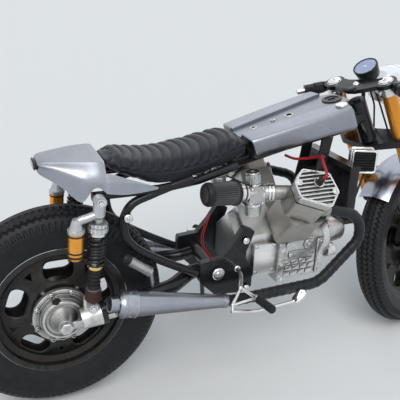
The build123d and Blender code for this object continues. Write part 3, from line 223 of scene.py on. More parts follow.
def oval(half_wide, half_high, steps):
    """Closed outline of a circle or an oval."""
    turns = [k * math.tau / steps for k in range(steps)]
    return [(half_wide * math.cos(turn), half_high * math.sin(turn)) for turn in turns]


# Radius that a turned form keeps on its axis, so that no face shrinks to nothing
AXIS_R = 0.02


def lathe(profile, steps=48, loop=False):
    """Turned form about local Z: the profile is a list of (height, radius)."""
    rings = []
    for height, radius in profile:
        radius = max(radius, AXIS_R)
        rings.append([(x, y, height) for x, y in oval(radius, radius, steps)])
    return skin(rings, loop=loop)


def post(low, high, radius, steps):
    """Plain round post about local Z."""
    return lathe([(low, 0), (low, radius), (high, radius), (high, 0)], steps)


def tube(points, radius, sides=14, closed=False):
    """Round tube along a path. The radius may be a list, one for each point, or a rule of point and side."""
    points = [Vector(p) for p in points]
    count = len(points)
    size = radius
    if isinstance(radius, (list, tuple)):
        size = lambda i, k: radius[i]
    elif not callable(radius):
        size = lambda i, k: radius
    rings = []
    normal = None
    for i, point in enumerate(points):
        before = points[i - 1] if i or closed else point
        after = points[(i + 1) % count] if i < count - 1 or closed else point
        tangent = (after - before).normalized()
        if normal is None:
            normal = tangent.orthogonal().normalized()
        normal = (normal - tangent * normal.dot(tangent)).normalized()
        side = tangent.cross(normal)
        ring = []
        for k, (u, v) in enumerate(oval(1, 1, sides)):
            ring.append(point + (normal * u + side * v) * size(i, k))
        rings.append(ring)
    return skin(rings, loop=closed)


def spline(points, per=8, closed=False):
    """Smooth path through the points."""
    points = [Vector(p) for p in points]
    count = len(points)
    path = []
    for i in range(count if closed else count - 1):
        p0 = points[(i - 1) % count] if closed or i else points[0] * 2 - points[1]
        p1, p2 = points[i], points[(i + 1) % count]
        p3 = points[(i + 2) % count] if closed or i < count - 2 else p2 * 2 - p1
        for k in range(per):
            t = k / per
            path.append(
                0.5 * (2 * p1 + (p2 - p0) * t + (2 * p0 - 5 * p1 + 4 * p2 - p3) * t * t
                       + (3 * p1 - p0 - 3 * p2 + p3) * t * t * t)
            )
    if not closed:
        path.append(points[-1])
    return path


def arc(start, end, sweep, t):
    """Spoke of a circle at a share of the sweep between two others."""
    return (start * math.sin((1 - t) * sweep) + end * math.sin(t * sweep)) / math.sin(sweep)


def bent_path(points, bends, per=8):
    """Straight runs joined by arcs, as a bent tube follows them."""
    points = [Vector(p) for p in points]
    path = [points[0]]
    for before, corner, after, bend in zip(points, points[1:], points[2:], bends):
        a = (before - corner).normalized()
        b = (after - corner).normalized()
        half = a.angle(b) / 2
        middle = corner + (a + b).normalized() * bend / math.sin(half)
        start = corner + a * bend / math.tan(half) - middle
        end = corner + b * bend / math.tan(half) - middle
        sweep = start.angle(end)
        for k in range(per + 1):
            path.append(middle + arc(start, end, sweep, k / per))
    path.append(points[-1])
    return path


def even_steps(path, step):
    """The path cut again at even steps."""
    result = [path[0]]
    left = step
    for a, b in zip(path, path[1:]):
        run = (b - a).length
        at = left
        while at <= run:
            result.append(a + (b - a) * at / run)
            at += step
        left = at - run
    return result


def star(radius, depth, points):
    """Toothed outline, as of a knurled ring."""
    outline = []
    for k in range(points * 4):
        reach = radius - (depth if k % 4 > 1 else 0)
        angle = k * math.tau / (points * 4)
        outline.append((reach * math.cos(angle), reach * math.sin(angle)))
    return outline


def band(low, high, inner, outer, steps=40):
    """Turned ring about local Z with softened edges."""
    soft = min(0.8, (high - low) / 4, (outer - inner) / 3)
    return lathe([(low, inner), (low, outer - soft), (low + soft, outer), (high - soft, outer),
                  (high, outer - soft), (high, inner)], steps, loop=True)


def rounded(outline, radii, per=6):
    """Outline of (x, y) points with each corner rounded by its radius."""
    count = len(outline)
    radii = radii if isinstance(radii, (list, tuple)) else [radii] * count
    result = []
    for i, corner in enumerate(outline):
        corner = Vector((*corner, 0))
        a = Vector((*outline[i - 1], 0)) - corner
        b = Vector((*outline[(i + 1) % count], 0)) - corner
        turn = a.angle(b)
        reach = min(radii[i] / max(math.tan(turn / 2), 1e-6), a.length * 0.48, b.length * 0.48)
        radius = reach * math.tan(turn / 2)
        middle = corner + (a.normalized() + b.normalized()).normalized() * radius / math.sin(turn / 2)
        start = corner + a.normalized() * reach - middle
        end = corner + b.normalized() * reach - middle
        sweep = start.angle(end) if start.length > 1e-9 and end.length > 1e-9 else 0.0
        for k in range(per + 1):
            t = k / per
            if sweep < 1e-4:
                point = corner + a.normalized() * reach * (1 - t) + b.normalized() * reach * t
            else:
                point = middle + arc(start, end, sweep, t)
            result.append((point.x, point.y))
    return result


def prism(outline, low, high, bevel=0.0, steps=2):
    """Outline in local XY raised along Z, with its rims bevelled."""
    bm = bmesh.new()
    floor = [bm.verts.new((x, y, low)) for x, y in outline]
    roof = [bm.verts.new((x, y, high)) for x, y in outline]
    bm.faces.new(list(reversed(floor)))
    bm.faces.new(roof)
    count = len(outline)
    for i in range(count):
        k = (i + 1) % count
        bm.faces.new((floor[i], floor[k], roof[k], roof[i]))
    if bevel:
        rims = [e for e in bm.edges if abs(e.verts[0].co.z - e.verts[1].co.z) < 1e-6]
        bmesh.ops.bevel(bm, geom=rims, offset=bevel, segments=steps, profile=0.5, affect="EDGES")
    return harvest(bm)


def brick(low, high, bevel=1.0, steps=2):
    """Box between two corners with all its edges bevelled."""
    bm = bmesh.new()
    size = Vector(high) - Vector(low)
    middle = (Vector(high) + Vector(low)) / 2
    bmesh.ops.create_cube(bm, size=1, matrix=Matrix.Translation(middle) @ Matrix.Diagonal((*size, 1)))
    bmesh.ops.bevel(bm, geom=bm.edges[:], offset=bevel, segments=steps, profile=0.5, affect="EDGES")
    return harvest(bm)


def hoop(outer, inner, low, high):
    """Upright wall between two outlines of equal count."""
    return skin([[(x, y, low) for x, y in outer], [(x, y, high) for x, y in outer],
                 [(x, y, high) for x, y in inner], [(x, y, low) for x, y in inner]], loop=True)


def shrunk(outline, inset):
    """Convex outline with every edge moved inwards."""
    count = len(outline)
    middle = sum((Vector(p) for p in outline), Vector((0, 0))) / count
    lines = []
    for i in range(count):
        a, b = Vector(outline[i]), Vector(outline[(i + 1) % count])
        normal = Vector((a.y - b.y, b.x - a.x)).normalized()
        if normal.dot(middle - a) < 0:
            normal = -normal
        lines.append((a + normal * inset, b + normal * inset))
    result = []
    for i in range(count):
        (a, b), (c, d) = lines[i - 1], lines[i]
        r, s = b - a, d - c
        t = (c - a).cross(s) / r.cross(s)
        result.append(tuple(a + r * t))
    return result


def span_at(outline, y):
    """Lowest and highest X of a convex outline at one Y."""
    found = []
    for (ax, ay), (bx, by) in zip(outline, outline[1:] + outline[:1]):
        if (ay - y) * (by - y) <= 0 and ay != by:
            found.append(ax + (bx - ax) * (y - ay) / (by - ay))
    return (min(found), max(found)) if len(found) > 1 else None


def hull(points):
    """Convex outline round the points."""
    points = sorted(set((round(x, 4), round(y, 4)) for x, y in points))
    halves = []
    for run in (points, points[::-1]):
        chain = []
        for p in run:
            while len(chain) > 1:
                (ax, ay), (bx, by) = chain[-2], chain[-1]
                if (bx - ax) * (p[1] - ay) - (by - ay) * (p[0] - ax) > 0:
                    break
                chain.pop()
            chain.append(p)
        halves += chain[:-1]
    return halves


def circle(x, y, radius, steps=40):
    return [(x + radius * math.cos(k * math.tau / steps), y + radius * math.sin(k * math.tau / steps))
            for k in range(steps)]


def holed(outline, holes, low, high):
    """Plate with round holes: (x, y, radius) for each."""
    bm = bmesh.new()
    loops = [outline] + [circle(*hole, 32) for hole in holes]
    edges = []
    for loop in loops:
        verts = [bm.verts.new((x, y, low)) for x, y in loop]
        edges += [bm.edges.new((verts[i], verts[(i + 1) % len(verts)])) for i in range(len(verts))]
    bmesh.ops.triangle_fill(bm, use_beauty=True, edges=edges)
    made = bmesh.ops.extrude_face_region(bm, geom=bm.faces[:])["geom"]
    raised = [v for v in made if isinstance(v, bmesh.types.BMVert)]
    bmesh.ops.translate(bm, vec=(0, 0, high - low), verts=raised)
    return harvest(bm)


def ball(radius, steps=12):
    rows = steps // 2
    return lathe([(-radius * math.cos(math.pi * i / rows), radius * math.sin(math.pi * i / rows))
                  for i in range(rows + 1)], steps)


def harvest(bm):
    bm.verts.index_update()
    points = [v.co.copy() for v in bm.verts]
    faces = [tuple(v.index for v in f.verts) for f in bm.faces]
    bm.free()
    return points, faces


def hex_bolt(radius, height):
    """Hexagon head on its washer, standing on local Z = 0."""
    form = Form()
    form.add(post(0, height * 0.2, radius * 1.45, 20))
    form.add(lathe([(height * 0.2, 0), (height * 0.2, radius), (height * 0.85, radius),
                    (height, radius * 0.8), (height, 0)], 6))
    return form.points, form.faces


def socket_bolt(radius, height):
    """Round head with a socket."""
    return lathe([(0, 0), (0, radius), (height * 0.85, radius), (height, radius * 0.85),
                  (height, radius * 0.5), (height * 0.5, radius * 0.5), (height * 0.5, 0)], 18)


def along(start, end):
    """Matrix that puts local Z on the line from start to end."""
    start, end = Vector(start), Vector(end)
    return Matrix.Translation(start) @ (end - start).to_track_quat("Z", "Y").to_matrix().to_4x4()


def out_of(point, side):
    """Matrix whose Z runs out to one side of the machine from a point."""
    return along(point, Vector(point) + Vector((0, side, 0)))


def dress(name, form, finishes, body="root", replaced=(), sharp=35.0):
    """Makes the gathered form an object of the frame and lets it ride on a body."""
    place = BODY_FRAMES[body]
    mesh = bpy.data.meshes.new(name)
    mesh.from_pydata([place @ p for p in form.points], [], form.faces)
    for finish in finishes:
        mesh.materials.append(surface(finish))
    mesh.polygons.foreach_set("material_index", form.finish)
    bm = bmesh.new()
    bm.from_mesh(mesh)
    bmesh.ops.recalc_face_normals(bm, faces=bm.faces[:])
    bm.to_mesh(mesh)
    bm.free()
    mesh.shade_smooth()
    mesh.set_sharp_from_angle(angle=math.radians(sharp))
    obj = bpy.data.objects.new(name, mesh)
    bpy.context.scene.collection.objects.link(obj)
    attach(obj, body)
    if replaced:
        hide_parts(*replaced)
    return obj


def apply_modifiers(obj):
    """Bakes the object's modifiers into its mesh."""
    graph = bpy.context.evaluated_depsgraph_get()
    mesh = bpy.data.meshes.new_from_object(obj.evaluated_get(graph))
    obj.modifiers.clear()
    obj.data = mesh


# Shader groups: effects that several finishes share


def new_group(name, inputs, outputs):
    """Shader node group with a Vector input, further inputs as (name, default), and named outputs."""
    group = bpy.data.node_groups.new(name, "ShaderNodeTree")
    group.interface.new_socket("Vector", in_out="INPUT", socket_type="NodeSocketVector")
    for label, default in inputs:
        kind = "NodeSocketColor" if isinstance(default, tuple) else "NodeSocketFloat"
        group.interface.new_socket(label, in_out="INPUT", socket_type=kind).default_value = default
    for label in outputs:
        kind = "NodeSocketColor" if label == "Colour" else "NodeSocketFloat"
        group.interface.new_socket(label, in_out="OUTPUT", socket_type=kind)
    return group, group.nodes.new("NodeGroupInput"), group.nodes.new("NodeGroupOutput")


def put(tree, kind, values=(), **props):
    """Adds a node, sets its properties, and fills or links the inputs given as (socket, value)."""
    node = tree.nodes.new(kind)
    for key, value in props.items():
        setattr(node, key, value)
    for key, value in values:
        if isinstance(value, bpy.types.NodeSocket):
            tree.links.new(value, node.inputs[key])
        else:
            node.inputs[key].default_value = value
    return node


def stretched(tree, vector, scale):
    """The vector scaled along its three axes."""
    return put(tree, "ShaderNodeMapping", [("Vector", vector), ("Scale", scale)]).outputs["Vector"]


def ramp(tree, value, low, high):
    """Zero below low and one above high."""
    node = put(tree, "ShaderNodeMapRange", [("Value", value), ("From Min", low), ("From Max", high)])
    return node.outputs["Result"]


def maths(tree, operation, a, b):
    return put(tree, "ShaderNodeMath", [(0, a), (1, b)], operation=operation).outputs[0]


def blended(tree, share, first, second):
    """Colour that goes from the first to the second by the share."""
    mix = put(tree, "ShaderNodeMix", [(0, share), (6, first), (7, second)], data_type="RGBA")
    return mix.outputs[2]


def speckled(tree, vector, scale, detail, roughness=0.5):
    """Soft noise between zero and one."""
    node = put(tree, "ShaderNodeTexNoise", [("Vector", vector), ("Scale", scale), ("Detail", detail),
                                            ("Roughness", roughness)])
    return node.outputs["Fac"]


def mottle_group():
    """Blends two colours by soft noise of two sizes."""
    group, given, result = new_group(
        "Mottle", [("Scale", 12.0), ("Amount", 0.5), ("Colour", (0.5, 0.5, 0.5, 1)),
                   ("Other", (0.3, 0.3, 0.3, 1))], ["Colour", "Mask"])
    where, scale = given.outputs["Vector"], given.outputs["Scale"]
    broad = speckled(group, where, scale, 5.0)
    fine = speckled(group, where, maths(group, "MULTIPLY", scale, 7.3), 3.0)
    both = maths(group, "ADD", maths(group, "MULTIPLY", broad, 0.65), maths(group, "MULTIPLY", fine, 0.35))
    mask = maths(group, "MULTIPLY", ramp(group, both, 0.38, 0.64), given.outputs["Amount"])
    mixed = blended(group, mask, given.outputs["Colour"], given.outputs["Other"])
    group.links.new(mixed, result.inputs["Colour"])
    group.links.new(mask, result.inputs["Mask"])
    return group


def wear_and_shade_group():
    """Mask of worn convex edges, and of grime with painted shade in hollows, broken up by noise."""
    group, given, result = new_group("Edge Wear", [("Wear", 0.4), ("Grime", 0.4)], ["Wear", "Grime"])
    geometry = put(group, "ShaderNodeNewGeometry")
    # Ambient occlusion finds the hollows, which are darkened as grime and painted shade
    hollows = put(group, "ShaderNodeAmbientOcclusion", [("Distance", 0.03)], samples=6)
    shift = maths(group, "SUBTRACT", speckled(group, given.outputs["Vector"], 60.0, 4.0), 0.5)
    edge = maths(group, "ADD", geometry.outputs["Pointiness"], maths(group, "MULTIPLY", shift, 0.12))
    worn = maths(group, "MULTIPLY", ramp(group, edge, 0.53, 0.60), given.outputs["Wear"])
    hollow = maths(group, "ADD", hollows.outputs["AO"], maths(group, "MULTIPLY", shift, 0.45))
    grime_and_shade = maths(group, "MULTIPLY", ramp(group, hollow, 0.88, 0.35), given.outputs["Grime"])
    group.links.new(worn, result.inputs["Wear"])
    group.links.new(grime_and_shade, result.inputs["Grime"])
    return group


def brushed_group():
    """Fine streaks along one direction, as left by brushing sheet metal."""
    group, given, result = new_group("Brushed Grain", [("Fineness", 260.0)], ["Height", "Streak"])
    lines = stretched(group, given.outputs["Vector"], (0.035, 1.0, 1.0))
    streak = speckled(group, lines, given.outputs["Fineness"], 4.0, 0.7)
    swirl = speckled(group, given.outputs["Vector"], 9.0, 2.0)
    total = maths(group, "ADD", maths(group, "MULTIPLY", streak, 0.8), maths(group, "MULTIPLY", swirl, 0.2))
    group.links.new(streak, result.inputs["Height"])
    group.links.new(total, result.inputs["Streak"])
    return group


def grain_group():
    """Height of a fine grain: cast metal, moulded plastic or leather, by scale and cell share."""
    group, given, result = new_group("Surface Grain", [("Scale", 400.0), ("Cells", 0.0)], ["Height"])
    where, scale = given.outputs["Vector"], given.outputs["Scale"]
    speckle = speckled(group, where, scale, 3.0)
    cells = put(group, "ShaderNodeTexVoronoi", [("Vector", where), ("Scale", scale)],
                feature="DISTANCE_TO_EDGE")
    walls = ramp(group, cells.outputs["Distance"], 0.0, 0.22)
    part = maths(group, "MULTIPLY", walls, given.outputs["Cells"])
    rest = maths(group, "MULTIPLY", speckle, maths(group, "SUBTRACT", 1.0, given.outputs["Cells"]))
    group.links.new(maths(group, "ADD", part, rest), result.inputs["Height"])
    return group


def dust_group():
    """Mask of dust that settles on upward faces, with patches."""
    group, given, result = new_group("Settled Dust", [("Amount", 0.3)], ["Mask"])
    geometry = put(group, "ShaderNodeNewGeometry")
    split = put(group, "ShaderNodeSeparateXYZ", [(0, geometry.outputs["Normal"])])
    facing = ramp(group, split.outputs["Z"], 0.0, 1.0)
    patches = speckled(group, given.outputs["Vector"], 35.0, 6.0, 0.65)
    mask = maths(group, "MULTIPLY", maths(group, "ADD", 0.25, facing), ramp(group, patches, 0.35, 0.7))
    group.links.new(maths(group, "MULTIPLY", mask, given.outputs["Amount"]), result.inputs["Mask"])
    return group


GROUPS = {
    "mottle": mottle_group,
    "wear": wear_and_shade_group,
    "brushed": brushed_group,
    "grain": grain_group,
    "dust": dust_group,
}
made_groups = {}


def shared(name):
    if name not in made_groups:
        made_groups[name] = GROUPS[name]()
    return made_groups[name]


# Finishes: base colour, second colour, metallic, roughness, mottle scale and amount,
# grain kind, grain scale, bump depth in metres, edge wear, grime with painted shade in hollows, dust, coat
FINISHES = {
    # The bluish tints of the sheet, dark sheet and fender finishes are painted reflection of sky on grey
    # steel
    "sheet metal": ("sheet", (0.22, 0.23, 0.27), 1.0, 0.30, 7, 0.35, "brushed", 330, 4e-5,
                    0.3, 0.25, 0.02, 0.0),
    "dark sheet": ((0.26, 0.27, 0.30), (0.16, 0.17, 0.19), 1.0, 0.30, 9, 0.4, "brushed", 330, 4e-5,
                   0.3, 0.3, 0.02, 0.0),
    "fender metal": ("sheet", (0.26, 0.30, 0.42), 1.0, 0.22, 6, 0.5, "brushed", 300, 3e-5,
                     0.3, 0.25, 0.02, 0.0),
    "cast alloy": ("engine", (0.30, 0.29, 0.27), 0.9, 0.36, 26, 0.5, "grain", 900, 1.6e-4,
                   0.7, 0.95, 0.03, 0.0),
    "engine silver": ("engine", (0.40, 0.40, 0.39), 0.9, 0.30, 18, 0.4, "grain", 700, 1.2e-4,
                      0.6, 0.95, 0.03, 0.0),
    "brown cast": ((0.34, 0.33, 0.31), (0.17, 0.16, 0.145), 0.85, 0.42, 26, 0.6, "grain", 800, 2e-4,
                   0.6, 0.95, 0.05, 0.0),
    "head white": ((0.50, 0.51, 0.53), (0.36, 0.37, 0.39), 0.7, 0.34, 24, 0.4, "grain", 700, 1e-4,
                   0.3, 0.7, 0.02, 0.0),
    "bright alloy": ((0.80, 0.80, 0.79), (0.58, 0.58, 0.58), 1.0, 0.20, 20, 0.35, "brushed", 500, 2e-5,
                     0.4, 0.7, 0.02, 0.0),
    "chrome": ((0.88, 0.89, 0.90), (0.72, 0.73, 0.76), 1.0, 0.07, 14, 0.3, "grain", 500, 1e-5,
               0.2, 0.5, 0.01, 0.0),
    "frame black": ("frame", (0.022, 0.022, 0.024), 0.0, 0.26, 22, 0.4, "grain", 350, 4e-5,
                    0.3, 0.2, 0.03, 0.25),
    "wheel black": ((0.012, 0.0115, 0.0115), (0.030, 0.027, 0.024), 0.2, 0.32, 30, 0.5, "grain", 600, 8e-5,
                    0.7, 0.3, 0.06, 0.15),
    "clamp black": ((0.010, 0.010, 0.012), (0.022, 0.022, 0.026), 0.2, 0.28, 40, 0.3, "grain", 900, 6e-5,
                    0.5, 0.2, 0.02, 0.2),
    "gold": ("gold", (0.66, 0.24, 0.02), 0.75, 0.26, 16, 0.3, "brushed", 600, 1.5e-5, 0.3, 0.4, 0.01, 0.25),
    "brass": ((0.80, 0.50, 0.16), (0.45, 0.27, 0.08), 1.0, 0.25, 50, 0.3, "grain", 600, 2e-5,
              0.4, 0.4, 0.0, 0.0),
    "rust bump": ((0.055, 0.024, 0.018), (0.03, 0.013, 0.01), 0.0, 0.5, 60, 0.6, "grain", 700, 1e-4,
                  0.3, 0.5, 0.03, 0.0),
    "tyre": ("tyre", (0.024, 0.025, 0.028), 0.0, 0.50, 16, 0.35, "grain", 800, 1.0e-4, 0.3, 0.2, 0.05, 0.0),
    "seat cover": ("seat", (0.022, 0.025, 0.036), 0.0, 0.36, 12, 0.3, "leather", 420, 2.2e-4,
                   0.15, 0.3, 0.01, 0.0),
    "rubber": ((0.012, 0.012, 0.014), (0.028, 0.028, 0.028), 0.0, 0.50, 30, 0.4, "grain", 900, 1e-4,
               0.3, 0.3, 0.04, 0.0),
    "matt plastic": ((0.010, 0.010, 0.012), (0.022, 0.022, 0.024), 0.0, 0.36, 40, 0.4, "grain", 1100, 8e-5,
                     0.4, 0.3, 0.03, 0.1),
    "pipe wrap": ((0.012, 0.013, 0.017), (0.028, 0.028, 0.034), 0.0, 0.36, 40, 0.4, "leather", 620, 2.5e-4,
                  0.3, 0.3, 0.03, 0.1),
    "filter mesh": ((0.085, 0.088, 0.092), (0.04, 0.04, 0.045), 0.5, 0.42, 60, 0.5, "leather", 900, 2e-4,
                    0.6, 0.8, 0.02, 0.0),
    "red lead": ((0.42, 0.008, 0.014), (0.24, 0.006, 0.01), 0.0, 0.32, 30, 0.3, "grain", 500, 3e-5,
                 0.2, 0.3, 0.02, 0.2),
    "dull alloy": ((0.34, 0.35, 0.34), (0.18, 0.18, 0.17), 0.85, 0.42, 30, 0.5, "grain", 700, 1.2e-4,
                   0.6, 0.8, 0.04, 0.0),
    # Near-black finish that is painted shade in holes and hollows
    "dark hollow": ((0.006, 0.006, 0.007), (0.010, 0.010, 0.011), 0.0, 0.7, 30, 0.3, "grain", 500, 5e-5,
                    0.0, 0.2, 0.02, 0.0),
    "dial face": ((0.30, 0.38, 0.56), (0.22, 0.29, 0.46), 0.0, 0.12, 30, 0.3, "grain", 300, 1e-6,
                  0.0, 0.0, 0.0, 0.9),
    "lamp white": ((0.78, 0.80, 0.82), (0.66, 0.68, 0.70), 0.4, 0.16, 20, 0.3, "grain", 300, 5e-6,
                   0.1, 0.2, 0.01, 0.6),
    "red lens": ((0.07, 0.005, 0.005), (0.035, 0.003, 0.003), 0.0, 0.10, 80, 0.5, "leather", 260, 2e-4,
                 0.0, 0.2, 0.0, 0.6),
}
SETTING_COLOURS = {
    "sheet": ("racer_metal", "sheet_colour"),
    "engine": ("racer_metal", "engine_colour"),
    "gold": ("racer_metal", "gold_colour"),
    "frame": ("racer_metal", "frame_colour"),
    "tyre": ("racer_tyres", "colour"),
    "seat": ("racer_seat", "cover_colour"),
}
DUST_COLOUR = (0.30, 0.25, 0.19, 1)
# Share of the base colour left in the darkest hollows, for grime and painted shade
GRIME_AND_SHADE_TONE = 0.16
DARK_SPECULAR = 0.2
# Share of its roughness that a finish has at its smoothest and at its roughest spots
SMOOTHEST = 0.82
ROUGHEST = 1.25
# Roughness that full dust and full grime add
DUST_MATT = 0.5
GRIME_MATT = 0.25
BUMP_STRENGTH = 0.8
# Sheet metal is painted brown-dark where it faces down: painted shade and painted reflection of dark ground
DOWNWARD_SHADED_FINISHES = ("sheet metal", "fender metal", "dark sheet")
DOWNWARD_SHADE_COLOUR = (0.105, 0.09, 0.088)
made_finishes = {}


def surface(name):
    """Procedural material of one finish, built once from its row in the table."""
    if name in made_finishes:
        return made_finishes[name]
    base, other, metallic, rough, spots, spread, kind, fineness, depth, *rest = FINISHES[name]
    worn, grime_and_shade_amount, dusty, coat = rest
    if isinstance(base, str):
        group, key = SETTING_COLOURS[base]
        base = tuple(getattr(settings(group), key))
    material = bpy.data.materials.new(name.replace(" ", "_"))
    material.use_nodes = True
    tree = material.node_tree
    shader = tree.nodes["Principled BSDF"]
    where = put(tree, "ShaderNodeTexCoord").outputs["Object"]

    def use(group, values):
        node = put(tree, "ShaderNodeGroup", node_tree=shared(group))
        tree.links.new(where, node.inputs["Vector"])
        for key, value in values:
            node.inputs[key].default_value = value
        return node

    mottle = use("mottle", [("Scale", spots), ("Amount", spread), ("Colour", (*base, 1)),
                            ("Other", (*other, 1))])
    tone = mottle.outputs["Colour"]
    # Painted shade: faces that point down blend towards a brown-dark colour
    if name in DOWNWARD_SHADED_FINISHES:
        facing = put(tree, "ShaderNodeSeparateXYZ", [(0, put(tree, "ShaderNodeTexCoord").outputs["Normal"])])
        lit = ramp(tree, facing.outputs["Z"], -0.55, 0.12)
        tone = blended(tree, lit, (*DOWNWARD_SHADE_COLOUR, 1), tone)
    wear = use("wear", [("Wear", worn), ("Grime", grime_and_shade_amount)])
    dust = use("dust", [("Amount", dusty)])
    bright = tuple(min(1.0, c * 1.5 + (0.02 if metallic < 0.5 else 0.1)) for c in base)
    edges = blended(tree, wear.outputs["Wear"], tone, (*bright, 1))
    # Hollows darken towards a sixth of the base colour: grime and painted shade
    shade = tuple(c * GRIME_AND_SHADE_TONE for c in base)
    grime_and_shade = blended(tree, wear.outputs["Grime"], edges, (*shade, 1))
    dusted = blended(tree, dust.outputs["Mask"], grime_and_shade, DUST_COLOUR)
    tree.links.new(dusted, shader.inputs["Base Color"])
    if kind == "brushed":
        grain = use("brushed", [("Fineness", fineness)])
        texture = grain.outputs["Streak"]
    else:
        grain = use("grain", [("Scale", fineness), ("Cells", 0.75 if kind == "leather" else 0.0)])
        texture = mottle.outputs["Mask"]
    low, high = rough * SMOOTHEST, min(1.0, rough * ROUGHEST)
    level = put(tree, "ShaderNodeMapRange", [("Value", texture), ("To Min", low), ("To Max", high)])
    if kind == "brushed":
        level.inputs["From Min"].default_value = 0.3
        level.inputs["From Max"].default_value = 0.7
    dust_share = maths(tree, "MULTIPLY", dust.outputs["Mask"], DUST_MATT)
    matt = maths(tree, "ADD", level.outputs["Result"], dust_share)
    grimed = maths(tree, "ADD", matt, maths(tree, "MULTIPLY", wear.outputs["Grime"], GRIME_MATT))
    tree.links.new(grimed, shader.inputs["Roughness"])
    if metallic:
        dulled = maths(tree, "MULTIPLY", maths(tree, "SUBTRACT", 1.0, dust.outputs["Mask"]), metallic)
        tree.links.new(dulled, shader.inputs["Metallic"])
    bump = put(tree, "ShaderNodeBump", [("Height", grain.outputs["Height"]), ("Distance", depth),
                                        ("Strength", BUMP_STRENGTH)])
    tree.links.new(bump.outputs["Normal"], shader.inputs["Normal"])
    shader.inputs["Coat Weight"].default_value = coat
    shader.inputs["Coat Roughness"].default_value = 0.12
    shader.inputs["Specular IOR Level"].default_value = 0.5 if metallic >= 0.5 else DARK_SPECULAR
    if kind == "leather" and name == "seat cover":
        shader.inputs["Sheen Weight"].default_value = 0.15
        shader.inputs["Sheen Roughness"].default_value = 0.4
    made_finishes[name] = material
    return material


# Which construction nodes wear each finish
FINISH_NODES = {
    "frame black": "backbone seat_rails rear_loops pivot_plates stand_bracket engine_hangers shaft_tube "
                   "swingarm_left swingarm_pivot shock_springs side_stand",
    "bright alloy": "rear_axle footrest_brackets foot_pedals fork_lowers front_axle clip_ons brake_discs",
    "cast alloy": "final_drive brake_panel rear_case carburettors",
    "engine silver": "front_case head_covers",
    "brown cast": "cylinders cylinder_heads",
    "rubber": "pod_filters footrest_pegs",
    "pipe wrap": "headers",
    "sheet metal": "silencers tank_lobes tail_cowl",
    "dark sheet": "tank_plate",
    "fender metal": "front_fender",
    "seat cover": "seat",
    "head white": "shock_bodies",
    "gold": "shock_reservoirs fork_uppers",
    "clamp black": "radiator top_clamp lower_clamp lamp_ears brake_calipers",
    "matt plastic": "louvred_box gauge levers",
    "lamp white": "headlamp",
    "tyre": "front_tyre rear_tyre",
    "wheel black": "front_rim front_hub rear_rim rear_hub",
}
NODE_FINISH = {node: finish for finish, nodes in FINISH_NODES.items() for node in nodes.split()}


def finish_nodes():
    """Gives every construction node its material."""
    for name, node in frame["nodes"].items():
        node.data.materials.clear()
        node.data.materials.append(surface(NODE_FINISH[name]))


# Stage


GROUND_COLOUR = (0.42, 0.40, 0.37, 1)
SKY_COLOUR = (0.78, 0.88, 1.0, 1)
SKY_STRENGTH = 0.78
BACKDROP_COLOUR = (0.90, 0.91, 0.92, 1)


def mix_world(world):
    """Soft sky above and pale ground below for the light. What shows of it is a plain pale tone."""
    world.use_nodes = True
    tree = world.node_tree
    tree.nodes.clear()
    where = put(tree, "ShaderNodeTexCoord").outputs["Generated"]
    split = put(tree, "ShaderNodeSeparateXYZ", [(0, where)])
    height = ramp(tree, split.outputs["Z"], -0.1, 0.9)
    sky = blended(tree, height, GROUND_COLOUR, SKY_COLOUR)
    light = put(tree, "ShaderNodeBackground", [("Color", sky), ("Strength", SKY_STRENGTH)])
    plain = put(tree, "ShaderNodeBackground", [("Color", BACKDROP_COLOUR), ("Strength", 1.0)])
    path = put(tree, "ShaderNodeLightPath")
    seen = maths(tree, "MAXIMUM", path.outputs["Is Camera Ray"], path.outputs["Is Glossy Ray"])
    shown = maths(tree, "MAXIMUM", seen, path.outputs["Is Transmission Ray"])
    mixed = put(tree, "ShaderNodeMixShader", [(0, shown), (1, light.outputs[0]), (2, plain.outputs[0])])
    output = put(tree, "ShaderNodeOutputWorld")
    tree.links.new(mixed.outputs[0], output.inputs["Surface"])


# The camera of the photograph, from the floor under the rear axle, in metres and degrees
CAMERA_PLACE = Vector((-0.2452, -1.4951, 1.5735))
CAMERA_YAW = 24.04
CAMERA_PITCH = 24.0
CAMERA_ROLL = 4.88
CAMERA_FOCUS_PX = 578.3
PHOTO_PX = 400
CAMERA_CENTRE_PX = (195.0, 155.1)
SENSOR_MM = 36.0


def add_camera():
    data = bpy.data.cameras.new("photo_camera")
    camera = bpy.data.objects.new("photo_camera", data)
    yaw, pitch, roll = (math.radians(a) for a in (CAMERA_YAW, CAMERA_PITCH, CAMERA_ROLL))
    ahead = Vector((math.sin(yaw) * math.cos(pitch), math.cos(yaw) * math.cos(pitch), -math.sin(pitch)))
    right = ahead.cross(Vector((0, 0, 1))).normalized()
    up = right.cross(ahead)
    right_rolled = right * math.cos(roll) + up * math.sin(roll)
    up_rolled = up * math.cos(roll) - right * math.sin(roll)
    turn = Matrix((right_rolled, up_rolled, -ahead)).transposed().to_4x4()
    camera.matrix_world = Matrix.Translation(UPRIGHT @ Vector((0, 0, 0)) + CAMERA_PLACE) @ turn
    data.sensor_width = SENSOR_MM
    data.lens = CAMERA_FOCUS_PX / PHOTO_PX * data.sensor_width
    data.shift_x = (PHOTO_PX / 2 - CAMERA_CENTRE_PX[0]) / PHOTO_PX
    data.shift_y = (CAMERA_CENTRE_PX[1] - PHOTO_PX / 2) / PHOTO_PX
    data.clip_end = 200
    bpy.context.scene.collection.objects.link(camera)
    bpy.context.scene.camera = camera


# Lamps: name, direction that the light comes from, strength setting, spread in degrees, colour
LAMPS = [
    ("key_lamp", (-0.55, -0.95, 1.45), "key_strength", 42.0, (1.0, 0.985, 0.96)),
    ("fill_lamp", (0.9, 0.9, 1.1), "fill_strength", 70.0, (0.84, 0.91, 1.0)),
]


